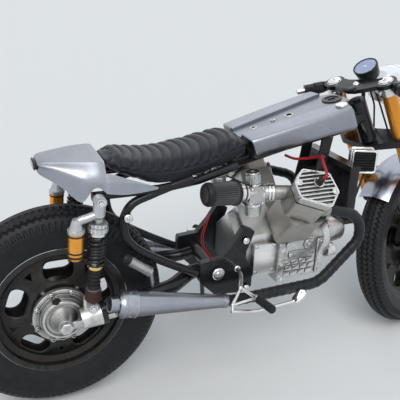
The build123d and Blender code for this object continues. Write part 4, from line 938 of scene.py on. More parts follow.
def add_lamps():
    for name, source, strength, spread, colour in LAMPS:
        data = bpy.data.lights.new(name, "SUN")
        data.energy = getattr(settings("racer_stage"), strength)
        data.angle = math.radians(spread)
        data.color = colour
        lamp = bpy.data.objects.new(name, data)
        lamp.matrix_world = (-Vector(source)).to_track_quat("-Z", "Y").to_matrix().to_4x4()
        bpy.context.scene.collection.objects.link(lamp)


FLOOR_HALF = 30.0


def add_floor():
    mesh = bpy.data.meshes.new("floor")
    half = FLOOR_HALF
    corners = [(-half, -half, 0), (half, -half, 0), (half, half, 0), (-half, half, 0)]
    mesh.from_pydata(corners, [], [(0, 1, 2, 3)])
    material = bpy.data.materials.new("floor_plain")
    material.use_nodes = True
    shader = material.node_tree.nodes["Principled BSDF"]
    shader.inputs["Base Color"].default_value = (*settings("racer_stage").floor_colour, 1)
    shader.inputs["Roughness"].default_value = 0.9
    shader.inputs["Specular IOR Level"].default_value = 0.1
    mesh.materials.append(material)
    floor = bpy.data.objects.new("floor", mesh)
    bpy.context.scene.collection.objects.link(floor)


# Tyres: outer radius, width, bead radius, bead half width, grooves at these shares of the half width
TYRES = {
    "rear": (343.0, 130.0, 216.0, 42.7, (-0.62, -0.22, 0.22, 0.62)),
    "front": (342.0, 108.0, 255.0, 29.7, (-0.62, -0.22, 0.22, 0.62)),
}
TREAD_SAMPLES = 58
TREAD_SPREAD = math.radians(78)
WALL_SAMPLES = 13
WAVE_STEPS = 6
GROOVE_SLOPE = 1.3
# Notches in the shoulder: depth, share of a wave that they take, where they begin and end
SHOULDER_NOTCH = 3.2
NOTCH_SHARE = 0.42
NOTCH_FROM = 0.84
NOTCH_TO = 0.99
# Bulge of the side wall and the height of its fine rings
WALL_BULGE = 3.2
WALL_RINGS = 1.0
# Rim lips: wheel, radius, half width
RIM_LIPS = [("rear", 216.5, 45.5), ("front", 255.5, 32.5)]


def tyre_form(radius, width, bead_r, bead_half, grooves):
    """Tyre with zigzag grooves and a notched shoulder, about the local Y axis."""
    look = settings("racer_tyres")
    crown = width / 2
    crown_z = radius - crown
    waves = round(math.tau * radius / (look.zigzag_pitch / MM))
    steps = waves * WAVE_STEPS
    depth = look.groove_depth / MM
    half_groove = look.groove_width / MM / 2
    swing = look.zigzag_swing / MM
    sections = []
    for i in range(TREAD_SAMPLES + 1):
        turn = -TREAD_SPREAD + 2 * TREAD_SPREAD * i / TREAD_SAMPLES
        across, up = math.sin(turn), math.cos(turn)
        sections.append((crown * across, crown_z + crown * up, across, up, True))
    edge_y, edge_z = sections[-1][0], sections[-1][1]
    wall = []
    for i in range(1, WALL_SAMPLES + 1):
        t = i / WALL_SAMPLES
        bulge = WALL_BULGE * math.sin(math.pi * t)
        y = edge_y + (bead_half - edge_y) * t + bulge + WALL_RINGS * math.sin(t * 9 * math.pi) * (1 - t)
        wall.append((y, edge_z + (bead_r - 11 - edge_z) * t))
    left = [(y, z, 1, 0, False) for y, z in wall]
    right = [(-y, z, -1, 0, False) for y, z in reversed(wall)]
    inner = [(bead_half - 9, bead_r - 8, 0, 0, False), (crown - 12, crown_z, 0, 0, False),
             (0, radius - 12, 0, 0, False), (-crown + 12, crown_z, 0, 0, False),
             (-bead_half + 9, bead_r - 8, 0, 0, False)]
    profile = right + sections + left + inner
    rings = []
    for y, z, normal_y, normal_z, tread in profile:
        ring = []
        share = abs(y / crown)
        for k in range(steps):
            phase = k / WAVE_STEPS % 1.0
            wave = (4 * abs(phase - 0.5) - 1) * swing
            cut = 0.0
            if tread:
                for groove in grooves:
                    gap = abs(y - groove * crown - wave)
                    cut = max(cut, min(1.0, (half_groove + GROOVE_SLOPE - gap) / GROOVE_SLOPE) * depth)
                if share > NOTCH_FROM and phase < NOTCH_SHARE:
                    ease = min(1.0, (share - NOTCH_FROM) / 0.04) * min(1.0, (NOTCH_TO - share) / 0.03 + 0.3)
                    cut = max(cut, SHOULDER_NOTCH * ease)
            angle = k * math.tau / steps
            height = z - normal_z * cut
            ring.append((height * math.cos(angle), y - normal_y * cut, height * math.sin(angle)))
        rings.append(ring)
    form = Form()
    form.add(skin(rings, loop=True))
    return form


def ring_line(radius, across, thick, steps=120, sides=8):
    """Thin round bead about the local Y axis."""
    return tube([(x, across, z) for x, z in oval(radius, radius, steps)], thick, sides, closed=True)


# Seat: station X, half width, lower edge, side height, crown height, as the padding lies unswollen
SEAT_STATIONS = [
    (140, 52, 826, 838, 845),
    (160, 84, 814, 830, 846),
    (185, 104, 802, 823, 846),
    (225, 114, 787, 811, 840),
    (262, 118, 772, 801, 836),
    (300, 120, 764, 797, 834),
    (345, 122, 766, 799, 835),
    (431, 122, 779, 811, 847),
    (500, 118, 796, 829, 862),
    (562, 109, 815, 846, 876),
    (590, 102, 826, 854, 881),
    (600, 94, 832, 857, 880),
]
# How far the pad's sides draw in at the lower edge
SEAT_TUCK = 9
SEAT_VOXEL = 0.0052
SEAT_FRAMES = 20
# Ribs: where they begin and end, how far their ends lean back, and the rise between two channels
RIBS_FROM = 176.0
RIBS_TO = 590.0
RIB_LEAN = 34.0
RIB_RISE = 1.6
RIB_SPREAD = 9.0
CHANNEL_SPREAD = 4.6
SEAM_DEPTH = 3.4
SEAM_SPREAD = 3.2


def seat_value(x, column):
    """Value of a seat column at a place along the machine."""
    rows = SEAT_STATIONS
    if x <= rows[0][0]:
        return rows[0][column]
    for low, high in zip(rows, rows[1:]):
        if x <= high[0]:
            t = (x - low[0]) / (high[0] - low[0])
            t = t * t * (3 - 2 * t)
            return low[column] + (high[column] - low[column]) * t
    return rows[-1][column]


def seat_ring(x):
    """Closed section of the pad: flat below, rolled at the sides, crowned above."""
    half, low, side, top = (seat_value(x, c) for c in (1, 2, 3, 4))
    ring = []
    for k in range(17):
        t = k / 16
        y = half * math.cos(math.pi * t)
        z = side + (top - side) * math.sin(math.pi * t) ** 0.75
        ring.append((x, y, z))
    for t in (0.0, 0.35, 0.7, 1.0):
        ring.append((x, -half + SEAT_TUCK * t * t, side + (low - side) * t))
    for t in (0.25, 0.5, 0.75):
        ring.append((x, (-half + SEAT_TUCK) * (1 - 2 * t), low))
    for t in (1.0, 0.7, 0.35):
        ring.append((x, half - SEAT_TUCK * t * t, side + (low - side) * t))
    return ring


def swell(obj, cap):
    """Puffs the pad with cloth pressure and keeps the puffed mesh, no point further out than the cap."""
    remesh = obj.modifiers.new("even", "REMESH")
    remesh.mode = "VOXEL"
    remesh.voxel_size = SEAT_VOXEL
    apply_modifiers(obj)
    start = [v.co.copy() for v in obj.data.vertices]
    cloth = obj.modifiers.new("puff", "CLOTH")
    cloth.settings.use_pressure = True
    cloth.settings.uniform_pressure_force = 4.0
    cloth.settings.effector_weights.gravity = 0.0
    cloth.settings.quality = 4
    cloth.settings.mass = 0.3
    cloth.settings.tension_stiffness = 15
    cloth.settings.compression_stiffness = 15
    cloth.point_cache.frame_start = 1
    cloth.point_cache.frame_end = SEAT_FRAMES
    scene = bpy.context.scene
    for number in range(1, SEAT_FRAMES + 1):
        scene.frame_set(number)
    apply_modifiers(obj)
    scene.frame_set(1)
    for vertex, origin in zip(obj.data.vertices, start):
        move = vertex.co - origin
        if move.length > cap:
            vertex.co = origin + move.normalized() * cap


def seat_seam(x):
    """Height of the seam between the ribbed top and the plain side."""
    side = seat_value(x, 3)
    return side + 3 - 10 * max(0.0, (260 - x) / 120)


def sew_seat(obj):
    """Presses the sewn channels and the side seam into the puffed pad."""
    look = settings("racer_seat")
    back = UPRIGHT.inverted()
    pitch = (RIBS_TO - RIBS_FROM) / look.rib_count
    depth = look.channel_depth / MM
    turn = UPRIGHT.to_3x3().normalized()
    for vertex in obj.data.vertices:
        p = back @ vertex.co
        half = seat_value(p.x, 1)
        seam = seat_seam(p.x)
        lean = RIB_LEAN * (abs(p.y) / max(half, 1)) ** 2
        place = (p.x + lean - RIBS_FROM) / pitch
        gap = abs(place - round(place)) * pitch
        press = 0.0
        above = p.z - seam
        if above > 0 and -0.2 < place < look.rib_count + 0.2:
            press = depth * math.exp(-(gap / CHANNEL_SPREAD) ** 2) * min(1.0, above / 7.0)
            press -= RIB_RISE * math.exp(-((gap - pitch / 2) / RIB_SPREAD) ** 2) * min(1.0, above / 12.0)
        seam_press = 0.0
        if abs(p.y) > half * 0.6 or p.x < 200:
            seam_press = SEAM_DEPTH * math.exp(-(abs(above) / SEAM_SPREAD) ** 2)
        inward = (Vector((p.x, 0, p.z - 18)) - p).normalized()
        shift = Vector((0, 0, -1)) * press + inward * seam_press
        vertex.co = vertex.co + turn @ shift * MM


# Tank lobe: station X at the top, inner Y, outer Y, depth, on planes that lean back
LOBES = [
    (604, 34.0, 114.0, 82.0),
    (789, 51.0, 129.0, 92.0),
    (974, 68.0, 130.0, 104.0),
]
TANK_TILT = math.radians(25.0)
TANK_RISE = 0.2675
PLATE_Z_600 = 867.0
LOBE_STEP = 11.0
REAR_ROLL = 6.0
FRONT_ROLL = 15.0
ROLL_STEPS = 7
LOBE_STEPS = 16


def tank_plate_z(x):
    return PLATE_Z_600 + (x - 600) * TANK_RISE


def lobe_value(x, column):
    for low, high in zip(LOBES, LOBES[1:]):
        if x <= high[0]:
            t = (x - low[0]) / (high[0] - low[0])
            return low[column] + (high[column] - low[column]) * t
    return LOBES[-1][column]


def lobe_ring(x, side, inset):
    """Rounded section of a tank lobe: tight inner edges, a full outer shoulder and a soft belly."""
    inner, outer, depth = (lobe_value(x, c) for c in (1, 2, 3))
    z = tank_plate_z(x) + LOBE_STEP
    corners = [(inner + inset, -inset), (outer - inset, -3 - inset), (outer - 4 - inset, -depth + inset),
               (inner + 4 + inset, -depth + inset)]
    ring = rounded(corners, [3.0, 13.0, 34.0, 4.0], per=9)
    return [(x - math.sin(TANK_TILT) * v, side * u, z + math.cos(TANK_TILT) * v) for u, v in ring]


def lobe_form(side):
    """One half of the tank with softly rolled ends."""
    first, last = LOBES[0][0], LOBES[-1][0]

    def rolled(start, way, roll):
        turns = [math.pi / 2 * i / ROLL_STEPS for i in range(ROLL_STEPS + 1)]
        return [lobe_ring(start + way * roll * (1 - math.cos(turn)), side, roll * (1 - math.sin(turn)))
                for turn in turns]

    rings = rolled(first, 1, REAR_ROLL)
    run = last - first - REAR_ROLL - FRONT_ROLL
    for i in range(1, LOBE_STEPS):
        rings.append(lobe_ring(first + REAR_ROLL + run * i / LOBE_STEPS, side, 0))
    rings += reversed(rolled(last, -1, FRONT_ROLL))
    return skin(rings)


# Tail: station X, half width of the deck, half width below, deck height, shoulder, lower edge
TAIL_STATIONS = [
    (-52, 38, 44, 846, 830, 808),
    (-20, 52, 66, 847.5, 826, 794),
    (14, 64, 90, 849, 820, 775),
    (40, 74, 107, 849.5, 812, 747),
    (58, 80, 117, 850, 806, 731),
    (74, 84, 122, 850, 801, 744),
    (88, 87, 124, 850, 797, 772),
    (103, 90, 125.5, 850, 796, 781),
    (118, 92, 126.5, 850, 794, 774),
    (133, 93, 127, 846, 790, 757),
]
# Tongue under the seat: station X, half width at the top, top, shoulder, lower edge
TONGUE_STATIONS = [
    (133, 112.5, 821, 790, 757),
    (180, 120, 800, 786, 747),
    (225, 124, 785, 778, 748),
    (262, 125.5, 771, 768, 751),
    (290, 126, 761, 760, 754),
]
TONGUE_HALF = 127.0
TAIL_WALL_Z = 828


def tail_section(row):
    """Half section of the tail from the middle of the deck down to the lower edge."""
    x, deck, low_half, top, shoulder, low = row
    points = [(0, top + 1.5), (deck * 0.5, top + 1.2), (deck - 8, top), (deck, top - 1.5),
              (deck + 3.5, top - 6)]
    for t in (0.25, 0.5, 0.75, 1.0):
        bulge = 5.0 * math.sin(math.pi * t)
        points.append((deck + 3.5 + (low_half - deck - 3.5) * t + bulge, top - 6 + (shoulder - top + 6) * t))
    for t in (0.34, 0.67, 1.0):
        points.append((low_half + 0.5 * t, shoulder + (low - shoulder) * t))
    return [(x, y, z) for y, z in points]


def tail_form():
    """Sheet of the tail and its tongue, both sides, before it is given a thickness."""
    form = Form()
    for side in (-1, 1):
        rows = [[(x, side * y, z) for x, y, z in tail_section(row)] for row in TAIL_STATIONS]
        form.add(skin(rows, around=False, ends=False))
        strip = []
        for x, half, top, shoulder, low in TONGUE_STATIONS:
            middle = (half + TONGUE_HALF) / 2 + 1.5
            section = [(half, top), (middle, (top + shoulder) / 2), (TONGUE_HALF, shoulder),
                       (TONGUE_HALF + 0.2, (shoulder + low) / 2), (TONGUE_HALF + 0.5, low)]
            strip.append([(x, side * y, z) for y, z in section])
        form.add(skin(strip, around=False, ends=False))
    # Rear wall, from the outline of the first station
    edge = tail_section(TAIL_STATIONS[0])
    wall = [[(x, side * y * share, TAIL_WALL_Z + (z - TAIL_WALL_Z) * share) for x, y, z in edge]
            for side in (-1, 1) for share in (1.0, 0.5, 0.02)]
    form.add(skin(wall[:3], around=False, ends=False))
    form.add(skin(wall[3:], around=False, ends=False))
    return form


# Shocks, on a line from the upper eye to the lower eye
SHOCK_Y = 160.0
SHOCK_TOP = (103.0, 750.0)
SHOCK_LOW = (76.0, 414.0)
SPRING_TOP = 104.0
SPRING_LOW = 198.0
SPRING_R = 23.0
SPRING_WIRE = 5.2
SPRING_TURNS = 7
# Outlines of the brass ring and of the bump stop
SHOCK_RING = [(200, 9.5), (200, 21), (206, 22), (210, 20), (210, 9.5)]
SHOCK_BUMP = [(276, 9.4), (277, 22.6), (286, 24.4), (300, 24.6), (312, 24.6), (318, 20), (318, 9.4)]


def shock_frame(side):
    top = Vector((SHOCK_TOP[0], side * SHOCK_Y, SHOCK_TOP[1]))
    low = Vector((SHOCK_LOW[0], side * SHOCK_Y, SHOCK_LOW[1]))
    return along(top, low)


def spring_form():
    """Wound coils with their ends tucked flat."""
    form = Form()
    for side in (-1, 1):
        path = []
        steps = SPRING_TURNS * 20
        for k in range(steps + 1):
            t = k / steps
            ease = t + 0.035 * math.sin(math.tau * t)
            angle = math.tau * SPRING_TURNS * t
            path.append((SPRING_R * math.cos(angle), SPRING_R * math.sin(angle),
                         SPRING_TOP + SPRING_WIRE + (SPRING_LOW - SPRING_TOP - 2 * SPRING_WIRE) * ease))
        form.add(tube(path, SPRING_WIRE, 10), 0, shock_frame(side))
    return form


# Steering, measured along its axis from the ground, forward of it and to its left
RAKE = math.radians(26.5)
LEG_FORE = 45.0
LEG_HALF = 105.0
CLAMP_TOP = 1124.0
CLAMP_LOW = 1109.0
CLIP_ALONG = 1093.0


def steer_point(up, fore, left):
    return Vector((STEER_FOOT_X - math.sin(RAKE) * up + math.cos(RAKE) * fore, left,
                   math.cos(RAKE) * up + math.sin(RAKE) * fore))


def steer_up(up, fore, left):
    """Matrix whose Z runs up the steering axis from a place."""
    return along(steer_point(up, fore, left), steer_point(up + 1, fore, left))


STEER_PLANE = Matrix(((math.cos(RAKE), 0, -math.sin(RAKE), STEER_FOOT_X), (0, 1, 0, 0),
                      (math.sin(RAKE), 0, math.cos(RAKE), 0), (0, 0, 0, 1)))
BAR_FORE = 88.0
BAR_RUN = Vector((-0.71, 0.68, -0.15)).normalized()
BAR_LENGTH = 175.0
BAR_R = 11.1


def clamp_form():
    """Top clamp: a waisted plate across both legs, with its stem cap."""
    form = Form()
    lobe = []
    for k in range(31):
        angle = math.radians(-60 + 9 * k)
        lobe.append((LEG_FORE + 38 * math.cos(angle), LEG_HALF + 38 * math.sin(angle)))
    half = [(56, 50)] + lobe + [(-10, 40), (-20, 16)]
    outline = half + [(fore, -left) for fore, left in reversed(half)]
    form.add(prism(outline, CLAMP_LOW, CLAMP_TOP, 2.5, 3), 0, STEER_PLANE)
    form.add(lathe([(-1, 0), (-1, 15), (2, 15), (3, 13.5), (3, 0)], 32), 0, steer_up(CLAMP_TOP, -4, 0))
    return form


def bar_point(side, distance):
    point = steer_point(CLIP_ALONG, BAR_FORE, LEG_HALF) + BAR_RUN * distance
    return Vector((point.x, side * point.y, point.z))


def bars_form():
    """Machined clip-on clamps with their short open bars."""
    form = Form()
    for side in (-1, 1):
        round_leg = circle(LEG_FORE, side * LEG_HALF, 35, 56)
        outline = hull(round_leg + circle(BAR_FORE, side * LEG_HALF, 15.1, 36))
        form.add(prism(outline, CLIP_ALONG - 15, CLIP_ALONG + 15, 2, 2), 0, STEER_PLANE)
        start = along(bar_point(side, -16), bar_point(side, 0))
        length = BAR_LENGTH + 16
        tube_profile = [(0, 0), (0, 12.5), (2, 14), (30, 14), (31.5, 12.5), (32, BAR_R), (length - 1, BAR_R),
                        (length, BAR_R - 1), (length, 9), (60, 9), (60, 0)]
        form.add(lathe(tube_profile, 36), 0, start)
    return form


# Measured from the bar: pivot ahead of the switch block, tip ahead of the bar's end
PERCH_ALONG = 96
LEVER_PIVOT = (36.0, 22.0, -16.0)
LEVER_END = (34.0, 34.0, -24.0)


def lever_form():
    """Ribbed boot, switch block with its buttons, and a short drooping lever on each bar."""
    form = Form()
    for side in (-1, 1):
        inner = bar_point(side, 44)
        place = along(inner, bar_point(side, 45))
        boot = [(0, 12), (0, 16)]
        for k in range(4):
            low = k * 7
            boot += [(2 + low, 17 + k), (6 + low, 17.6 + k), (7 + low, 15.6 + k), (8 + low, 15.6 + k)]
        form.add(lathe(boot + [(31, 12)], 32, loop=True), 0, place)
        block = rounded([(-23, -21), (23, -21), (23, 21), (-23, 21)], 10, 5)
        form.add(prism(block, 31, 64, 2, 2), 0, place)
        form.add(prism([(x * 0.93, y * 0.93) for x, y in block], 65.5, 101, 2, 2), 0, place)
        for spot, size in (((24, -2, 44), 6.5), ((22, 4, 78), 7.5), ((-24, -2, 52), 5.5)):
            out = Vector((spot[0], 0, 0)).normalized()
            here, there = place @ Vector(spot), place @ (Vector(spot) + out)
            button = lathe([(-4, 0), (-4, size), (2.4, size), (3.4, size - 1), (3.4, 0)], 24)
            form.add(button, 1, along(here, there))
        perch = bar_point(side, PERCH_ALONG)
        pivot = perch + Vector((LEVER_PIVOT[0], side * LEVER_PIVOT[1], LEVER_PIVOT[2]))
        tip = bar_point(side, BAR_LENGTH) + Vector((LEVER_END[0], side * LEVER_END[1], LEVER_END[2]))
        root = perch + Vector((0, 0, -14))
        form.add(tube([root, pivot], 9, 18), 0)
        form.add(post(-11, 11, 8, 24), 2, along(pivot, pivot + Vector((0, 0, 1))))
        path = spline([pivot, pivot + (tip - pivot) * 0.5 + Vector((6, 0, 3)), tip])
        form.add(tube(path, [6.4 - 1.6 * i / (len(path) - 1) for i in range(len(path))], 16), 2)
        form.add(ball(8, 24), 2, Matrix.Translation(tip))
    return form


# Control cables from the clamp down past the head: along the axis, forward, outward
CABLE_ROUTE = [(1108, 105, 8), (985, 112, 12), (880, 89.2, 30), (770, 84, 64), (700, 67.2, 83.6),
               (610, 67.2, 83.6)]
CABLE_BENDS = [90.0] * 4
CABLE_R = 3.5


def cable_form():
    """Two black cables, one on each side, along the route of the real ones."""
    form = Form()
    for side in (-1, 1):
        path = bent_path([steer_point(up, fore, side * out) for up, fore, out in CABLE_ROUTE], CABLE_BENDS)
        form.add(tube(even_steps(path, 9), CABLE_R, 12))
    return form


SEAL_ALONG = 572


def fork_form():
    """Leg caps, dome bolt, pinch bolts of the clip-ons and the dust seals of the fork."""
    form = Form()
    for side in (-1, 1):
        cap = steer_up(CLAMP_TOP - 1, LEG_FORE, side * LEG_HALF)
        dome = [(0, 0), (0, 26.4), (2.5, 26.4), (3.5, 24.5), (7, 23.5), (8, 22), (8, 0)]
        form.add(lathe(dome, 40), 0, cap)
        form.add(lathe([(8, 0), (8, 11), (10, 10), (10, 5), (7, 5), (7, 0)], 6), 0, cap)
        seal = steer_up(SEAL_ALONG, LEG_FORE, side * LEG_HALF)
        form.add(lathe([(0, 21.4), (0, 27), (6, 30), (19, 30), (19, 26.5)], 40, loop=True), 1, seal)
        for turn in (200, 250):
            angle = math.radians(turn)
            fore, aside = math.cos(angle), math.sin(angle)
            ends = []
            for reach in (35, 50):
                left = side * (LEG_HALF + reach * aside)
                ends.append(steer_point(CLIP_ALONG, LEG_FORE + reach * fore, left))
            form.add(socket_bolt(6.5, 7), 0, along(*ends))
    form.add(lathe([(0, 12), (2, 12), (6, 10), (9, 6), (10, 0)], 30), 0, steer_up(CLAMP_TOP, 24, 0))
    return form


GAUGE_TOP = 1150.3
GAUGE_FORE = 105.0
GAUGE_R = 44.0
GAUGE_LEAN = 12.0
TICK_COUNT = 11


def gauge_form():
    """Bezel, dial, plain ticks and a pointer. The dial bears no figures."""
    place = steer_up(GAUGE_TOP, GAUGE_FORE, 0) @ Matrix.Rotation(math.radians(GAUGE_LEAN), 4, "X")
    form = Form()
    cup = [(-46, 0), (-46, 36), (-42, 39), (-8, GAUGE_R), (0, GAUGE_R), (0, 0)]
    form.add(lathe(cup, 56), 3, place)
    form.add(post(-62, -46, 14, 28), 3, place)
    form.add(band(-6, 3.5, GAUGE_R - 4, GAUGE_R + 1.2, 64), 3, place)
    form.add(post(0.1, 1.2, GAUGE_R - 3, 48), 1, place)
    for k in range(TICK_COUNT):
        turn = Matrix.Rotation(math.radians(-140 + 28 * k), 4, "Z")
        form.add(brick((GAUGE_R - 14, -0.9, 1.1), (GAUGE_R - 7, 0.9, 1.7), 0.2, 1), 2, place @ turn)
    pointer = Matrix.Rotation(math.radians(-150), 4, "Z")
    form.add(brick((-6, -1, 1.6), (26, 1, 2.4), 0.3, 1), 2, place @ pointer)
    form.add(lathe([(1, 0), (1, 5), (3, 4.5), (3, 0)], 20), 0, place)
    return form


HEADLAMP_ALONG = 1000.0
HEADLAMP_FORE = 235.0
HEADLAMP_R = 76.0


def headlamp_form():
    """Bright rim and the curved lens of the headlamp."""
    front = steer_point(HEADLAMP_ALONG, HEADLAMP_FORE, 0)
    place = along(front - Vector((1, 0, 0)), front)
    form = Form()
    form.add(band(-15, 3, HEADLAMP_R - 6, HEADLAMP_R + 1.5, 72), 0, place)
    lens = [(2 + 13 * math.cos(math.pi / 2 * k / 10), (HEADLAMP_R - 5) * math.sin(math.pi / 2 * k / 10))
            for k in range(11)]
    form.add(lathe(lens + [(0, HEADLAMP_R - 5), (0, 0)], 64), 1, place)
    return form


# Exhaust on the right. The left one is its mirror image
HEADER_R = 17.5
HEADER_ROUTE = [(846, -208, 652), (1004, -206, 606), (1004, -204, 512), (862, -197, 368)]
HEADER_BENDS = [88, 58, 90, 120]
HEADER_END = 36.0
SILENCER_FRONT = Vector((503, -194, 365))
SILENCER_REAR = Vector((128, -224, 447))
SILENCER_R = 40.0
WRAP_PITCH = 27.0
WRAP_STEP = 1.5


def header_form():
    """Header pipe wound in heat wrap, each turn lapping over the one before."""
    back = (SILENCER_REAR - SILENCER_FRONT).normalized()
    route = [Vector(p) for p in HEADER_ROUTE]
    route += [SILENCER_FRONT - back * HEADER_END, SILENCER_FRONT - back * 0.3]
    path = even_steps(bent_path(route, HEADER_BENDS), WRAP_STEP)
    sides = 36

    def lap(i, k):
        turn = (i * WRAP_STEP / WRAP_PITCH + k / sides) % 1.0
        return HEADER_R + 1.9 * min(1.0, turn * 1.05) - (1.7 if turn > 0.95 else 0)

    form = Form()
    form.add(tube(path, lap, sides))
    port = along(path[0], path[1])
    form.add(post(-52, -1, 25, 36), 1, port)
    form.add(band(-3, 7, HEADER_R, HEADER_R + 8, 36), 1, port)
    for angle in (math.radians(60), math.radians(240)):
        here = port @ Vector(((HEADER_R + 11) * math.cos(angle), (HEADER_R + 11) * math.sin(angle), 0))
        form.add(hex_bolt(5, 9), 1, Matrix.Translation(here) @ port.to_3x3().to_4x4())
    return form


def silencer_form():
    """Megaphone silencer with its weld beads, rivets and end ring, and with a dark disc in the outlet and
    dark ovals round the stub that are painted shade of the hollow pipe and of holes.
    """
    place = along(SILENCER_FRONT, SILENCER_REAR)
    length = (SILENCER_REAR - SILENCER_FRONT).length
    form = Form()
    body = [(0, 17), (0, 20.5), (26, 22), (length - 62, SILENCER_R - 2), (length - 60, SILENCER_R),
            (length - 22, SILENCER_R), (length - 14, SILENCER_R - 4), (length - 8, SILENCER_R - 9),
            (length - 8, 24), (length + 16, 22), (length + 16, 19), (length - 60, 19)]
    form.add(lathe(body, 64, loop=True), 0, place)
    # Dark disc inside the outlet: painted shade of the hollow pipe
    form.add(post(length - 59, length - 57, 19.4, 32), 1, place)
    form.add(band(-4, 12, HEADER_R + 1, HEADER_R + 5.5, 40), 0, place)
    form.add(band(length - 64, length - 58, SILENCER_R - 3, SILENCER_R + 1.2, 56), 0, place)
    form.add(band(length - 27, length - 20, SILENCER_R - 3, SILENCER_R + 1.0, 56), 0, place)
    form.add(band(length + 13, length + 17, 18.6, 23.4, 40), 0, place)
    for k in range(6):
        angle = k * math.tau / 6 + 0.4
        head = Vector((math.cos(angle), math.sin(angle), 0))
        start = place @ (head * (SILENCER_R - 0.5) + Vector((0, 0, length - 42)))
        end = place @ (head * (SILENCER_R + 4) + Vector((0, 0, length - 42)))
        form.add(lathe([(0, 0), (0, 3.4), (1.2, 3.0), (2.0, 1.6), (2.2, 0)], 14), 0, along(start, end))
        turn = Matrix.Rotation(angle + math.pi / 2, 4, "Z")
        spot = Matrix.Translation((27.6 * math.cos(angle), 27.6 * math.sin(angle), length - 8))
        # Dark ovals on the end face: painted shade of holes
        form.add(prism(oval(6.2, 3.0, 16), -0.2, 0.5), 1, place @ spot @ turn)
    return form


# Cylinders and what stands on them. Side 1 is the right one
V_ANGLE = math.radians(40.0)
COVER_TOP = 394.0
COVER_FLOOR = 385.0
COVER_BOLTS = [(-68, 27), (48, -20)]
PLUG_PLACE = (2, 17)
PLUG_CAP = [(0, 0), (0, 12.5), (12, 12.5), (14, 10), (22, 9.5), (24, 11), (30, 10), (34, 6), (34, 0)]
CARB_Y = 134.0
LEAD_POINTS = [(822, -196, 822), (850, -160, 818), (838, -120, 802), (800, -78, 788), (770, -52, 796)]


def cover_frame(side, distance):
    """Matrix square to a cylinder, its Y up the slope on the right."""
    out = Vector((0, -side * math.sin(V_ANGLE), math.cos(V_ANGLE)))
    up = Vector((0, math.cos(V_ANGLE), side * math.sin(V_ANGLE)))
    centre = Vector((775 + side * 11, 0, 450)) + out * distance
    return Matrix.Translation(centre) @ Matrix((Vector((1, 0, 0)), up, out)).transposed().to_4x4()


# Outline of the head cover seen along the cylinder, X and up the slope
COVER_OUTLINE = [(-83, 30), (-37, 74), (56, 48), (62, -22), (13, -73), (-84, -28)]
COVER_LOW = 362.0
FIN_COUNT = 10
FIN_FIRST = -62
FIN_PITCH = 13.6


def lid_form():
    """Head covers with a raised rim, ten cooling fins and the collar below."""
    form = Form()
    for side in (1, -1):
        place = cover_frame(side, 0)
        sharp_edge = [(x, side * y) for x, y in COVER_OUTLINE]
        outer = rounded(sharp_edge, 14, 6)
        inner = rounded(shrunk(sharp_edge, 6), 10, 6)
        form.add(prism(rounded(shrunk(sharp_edge, 12), 10, 6), 349, COVER_LOW + 1), 1, place)
        form.add(prism(outer, COVER_LOW, COVER_FLOOR, 1.6, 2), 0, place)
        form.add(hoop(outer, inner, COVER_FLOOR - 2, COVER_TOP - 2), 0, place)
        edge = shrunk(sharp_edge, 4)
        for k in range(FIN_COUNT):
            y = side * (FIN_FIRST + k * FIN_PITCH)
            span = span_at(edge, y)
            if span:
                fin = brick((span[0], y - 2.5, COVER_FLOOR - 2), (span[1], y + 2.5, COVER_TOP), 1.2, 2)
                form.add(fin, 0, place)
    return form


def cover_form():
    """Sunk cap bolts of the head covers, the spark plug caps and their red leads."""
    form = Form()
    for side in (1, -1):
        for x, y in COVER_BOLTS:
            place = cover_frame(side, COVER_TOP - 2) @ Matrix.Translation((x, side * y, 0))
            form.add(band(-4, 2.6, 8.5, 12, 28), 0, place)
            form.add(socket_bolt(7.5, 4), 0, place)
        place = cover_frame(side, COVER_FLOOR) @ Matrix.Translation((PLUG_PLACE[0], side * PLUG_PLACE[1], 0))
        form.add(band(0, 10, 13, 17, 32), 0, place)
        form.add(lathe(PLUG_CAP, 28), 1, place)
        top = place @ Vector((0, 0, 30))
        rise = [top, top + place.to_3x3() @ Vector((4, 0, 24))]
        form.add(tube(spline(rise + [(x, y * side, z) for x, y, z in LEAD_POINTS]), 4.6, 14), 2)
    return form


def filter_ends(side):
    """Neck and far end of a pod filter."""
    return Vector((573, -side * 138, 716)), Vector((432, -side * 150, 727))


def carb_form():
    """Ribbed caps, clamp bands and screws of the carburettors."""
    form = Form()
    for side in (1, -1):
        y = -side * CARB_Y
        cap = along((612, y, 736), (606, y, 780))
        form.add(prism(star(24.4, 1.8, 26), 8, 38, 0.5, 1), 0, cap)
        form.add(band(36, 45.5, 8, 21, 36), 0, cap)
        form.add(band(2, 7, 20, 27, 36), 0, cap)
        port, mouth = Vector((744, -side * 168, 706)), Vector((640, y, 706))
        run = mouth - port
        for share in (0.66, 0.76, 0.95):
            form.add(band(-4, 4, 25.6, 28.4, 40), 0, along(port + run * share, mouth + run))
        form.add(band(-8, -2, 26, 31, 40), 0, along(*filter_ends(side)))
        for dx in (-20, 20):
            for z in (680, 730):
                screw = Vector((614 + dx, y - side * 28, z))
                form.add(socket_bolt(4, 3), 0, along(screw, screw - Vector((0, side, 0))))
        bowl = along((612, y, 674), (616, y, 634))
        form.add(band(-2, 4, 28, 33, 36), 0, bowl)
        form.add(hex_bolt(7, 6), 0, along((616, y, 634), (616.5, y, 629)))
        linkage = spline([(590, y - side * 30, 742), (560, y - side * 26, 756), (520, y + side * 20, 770)])
        form.add(tube(linkage, 2.6, 10), 1)
    return form


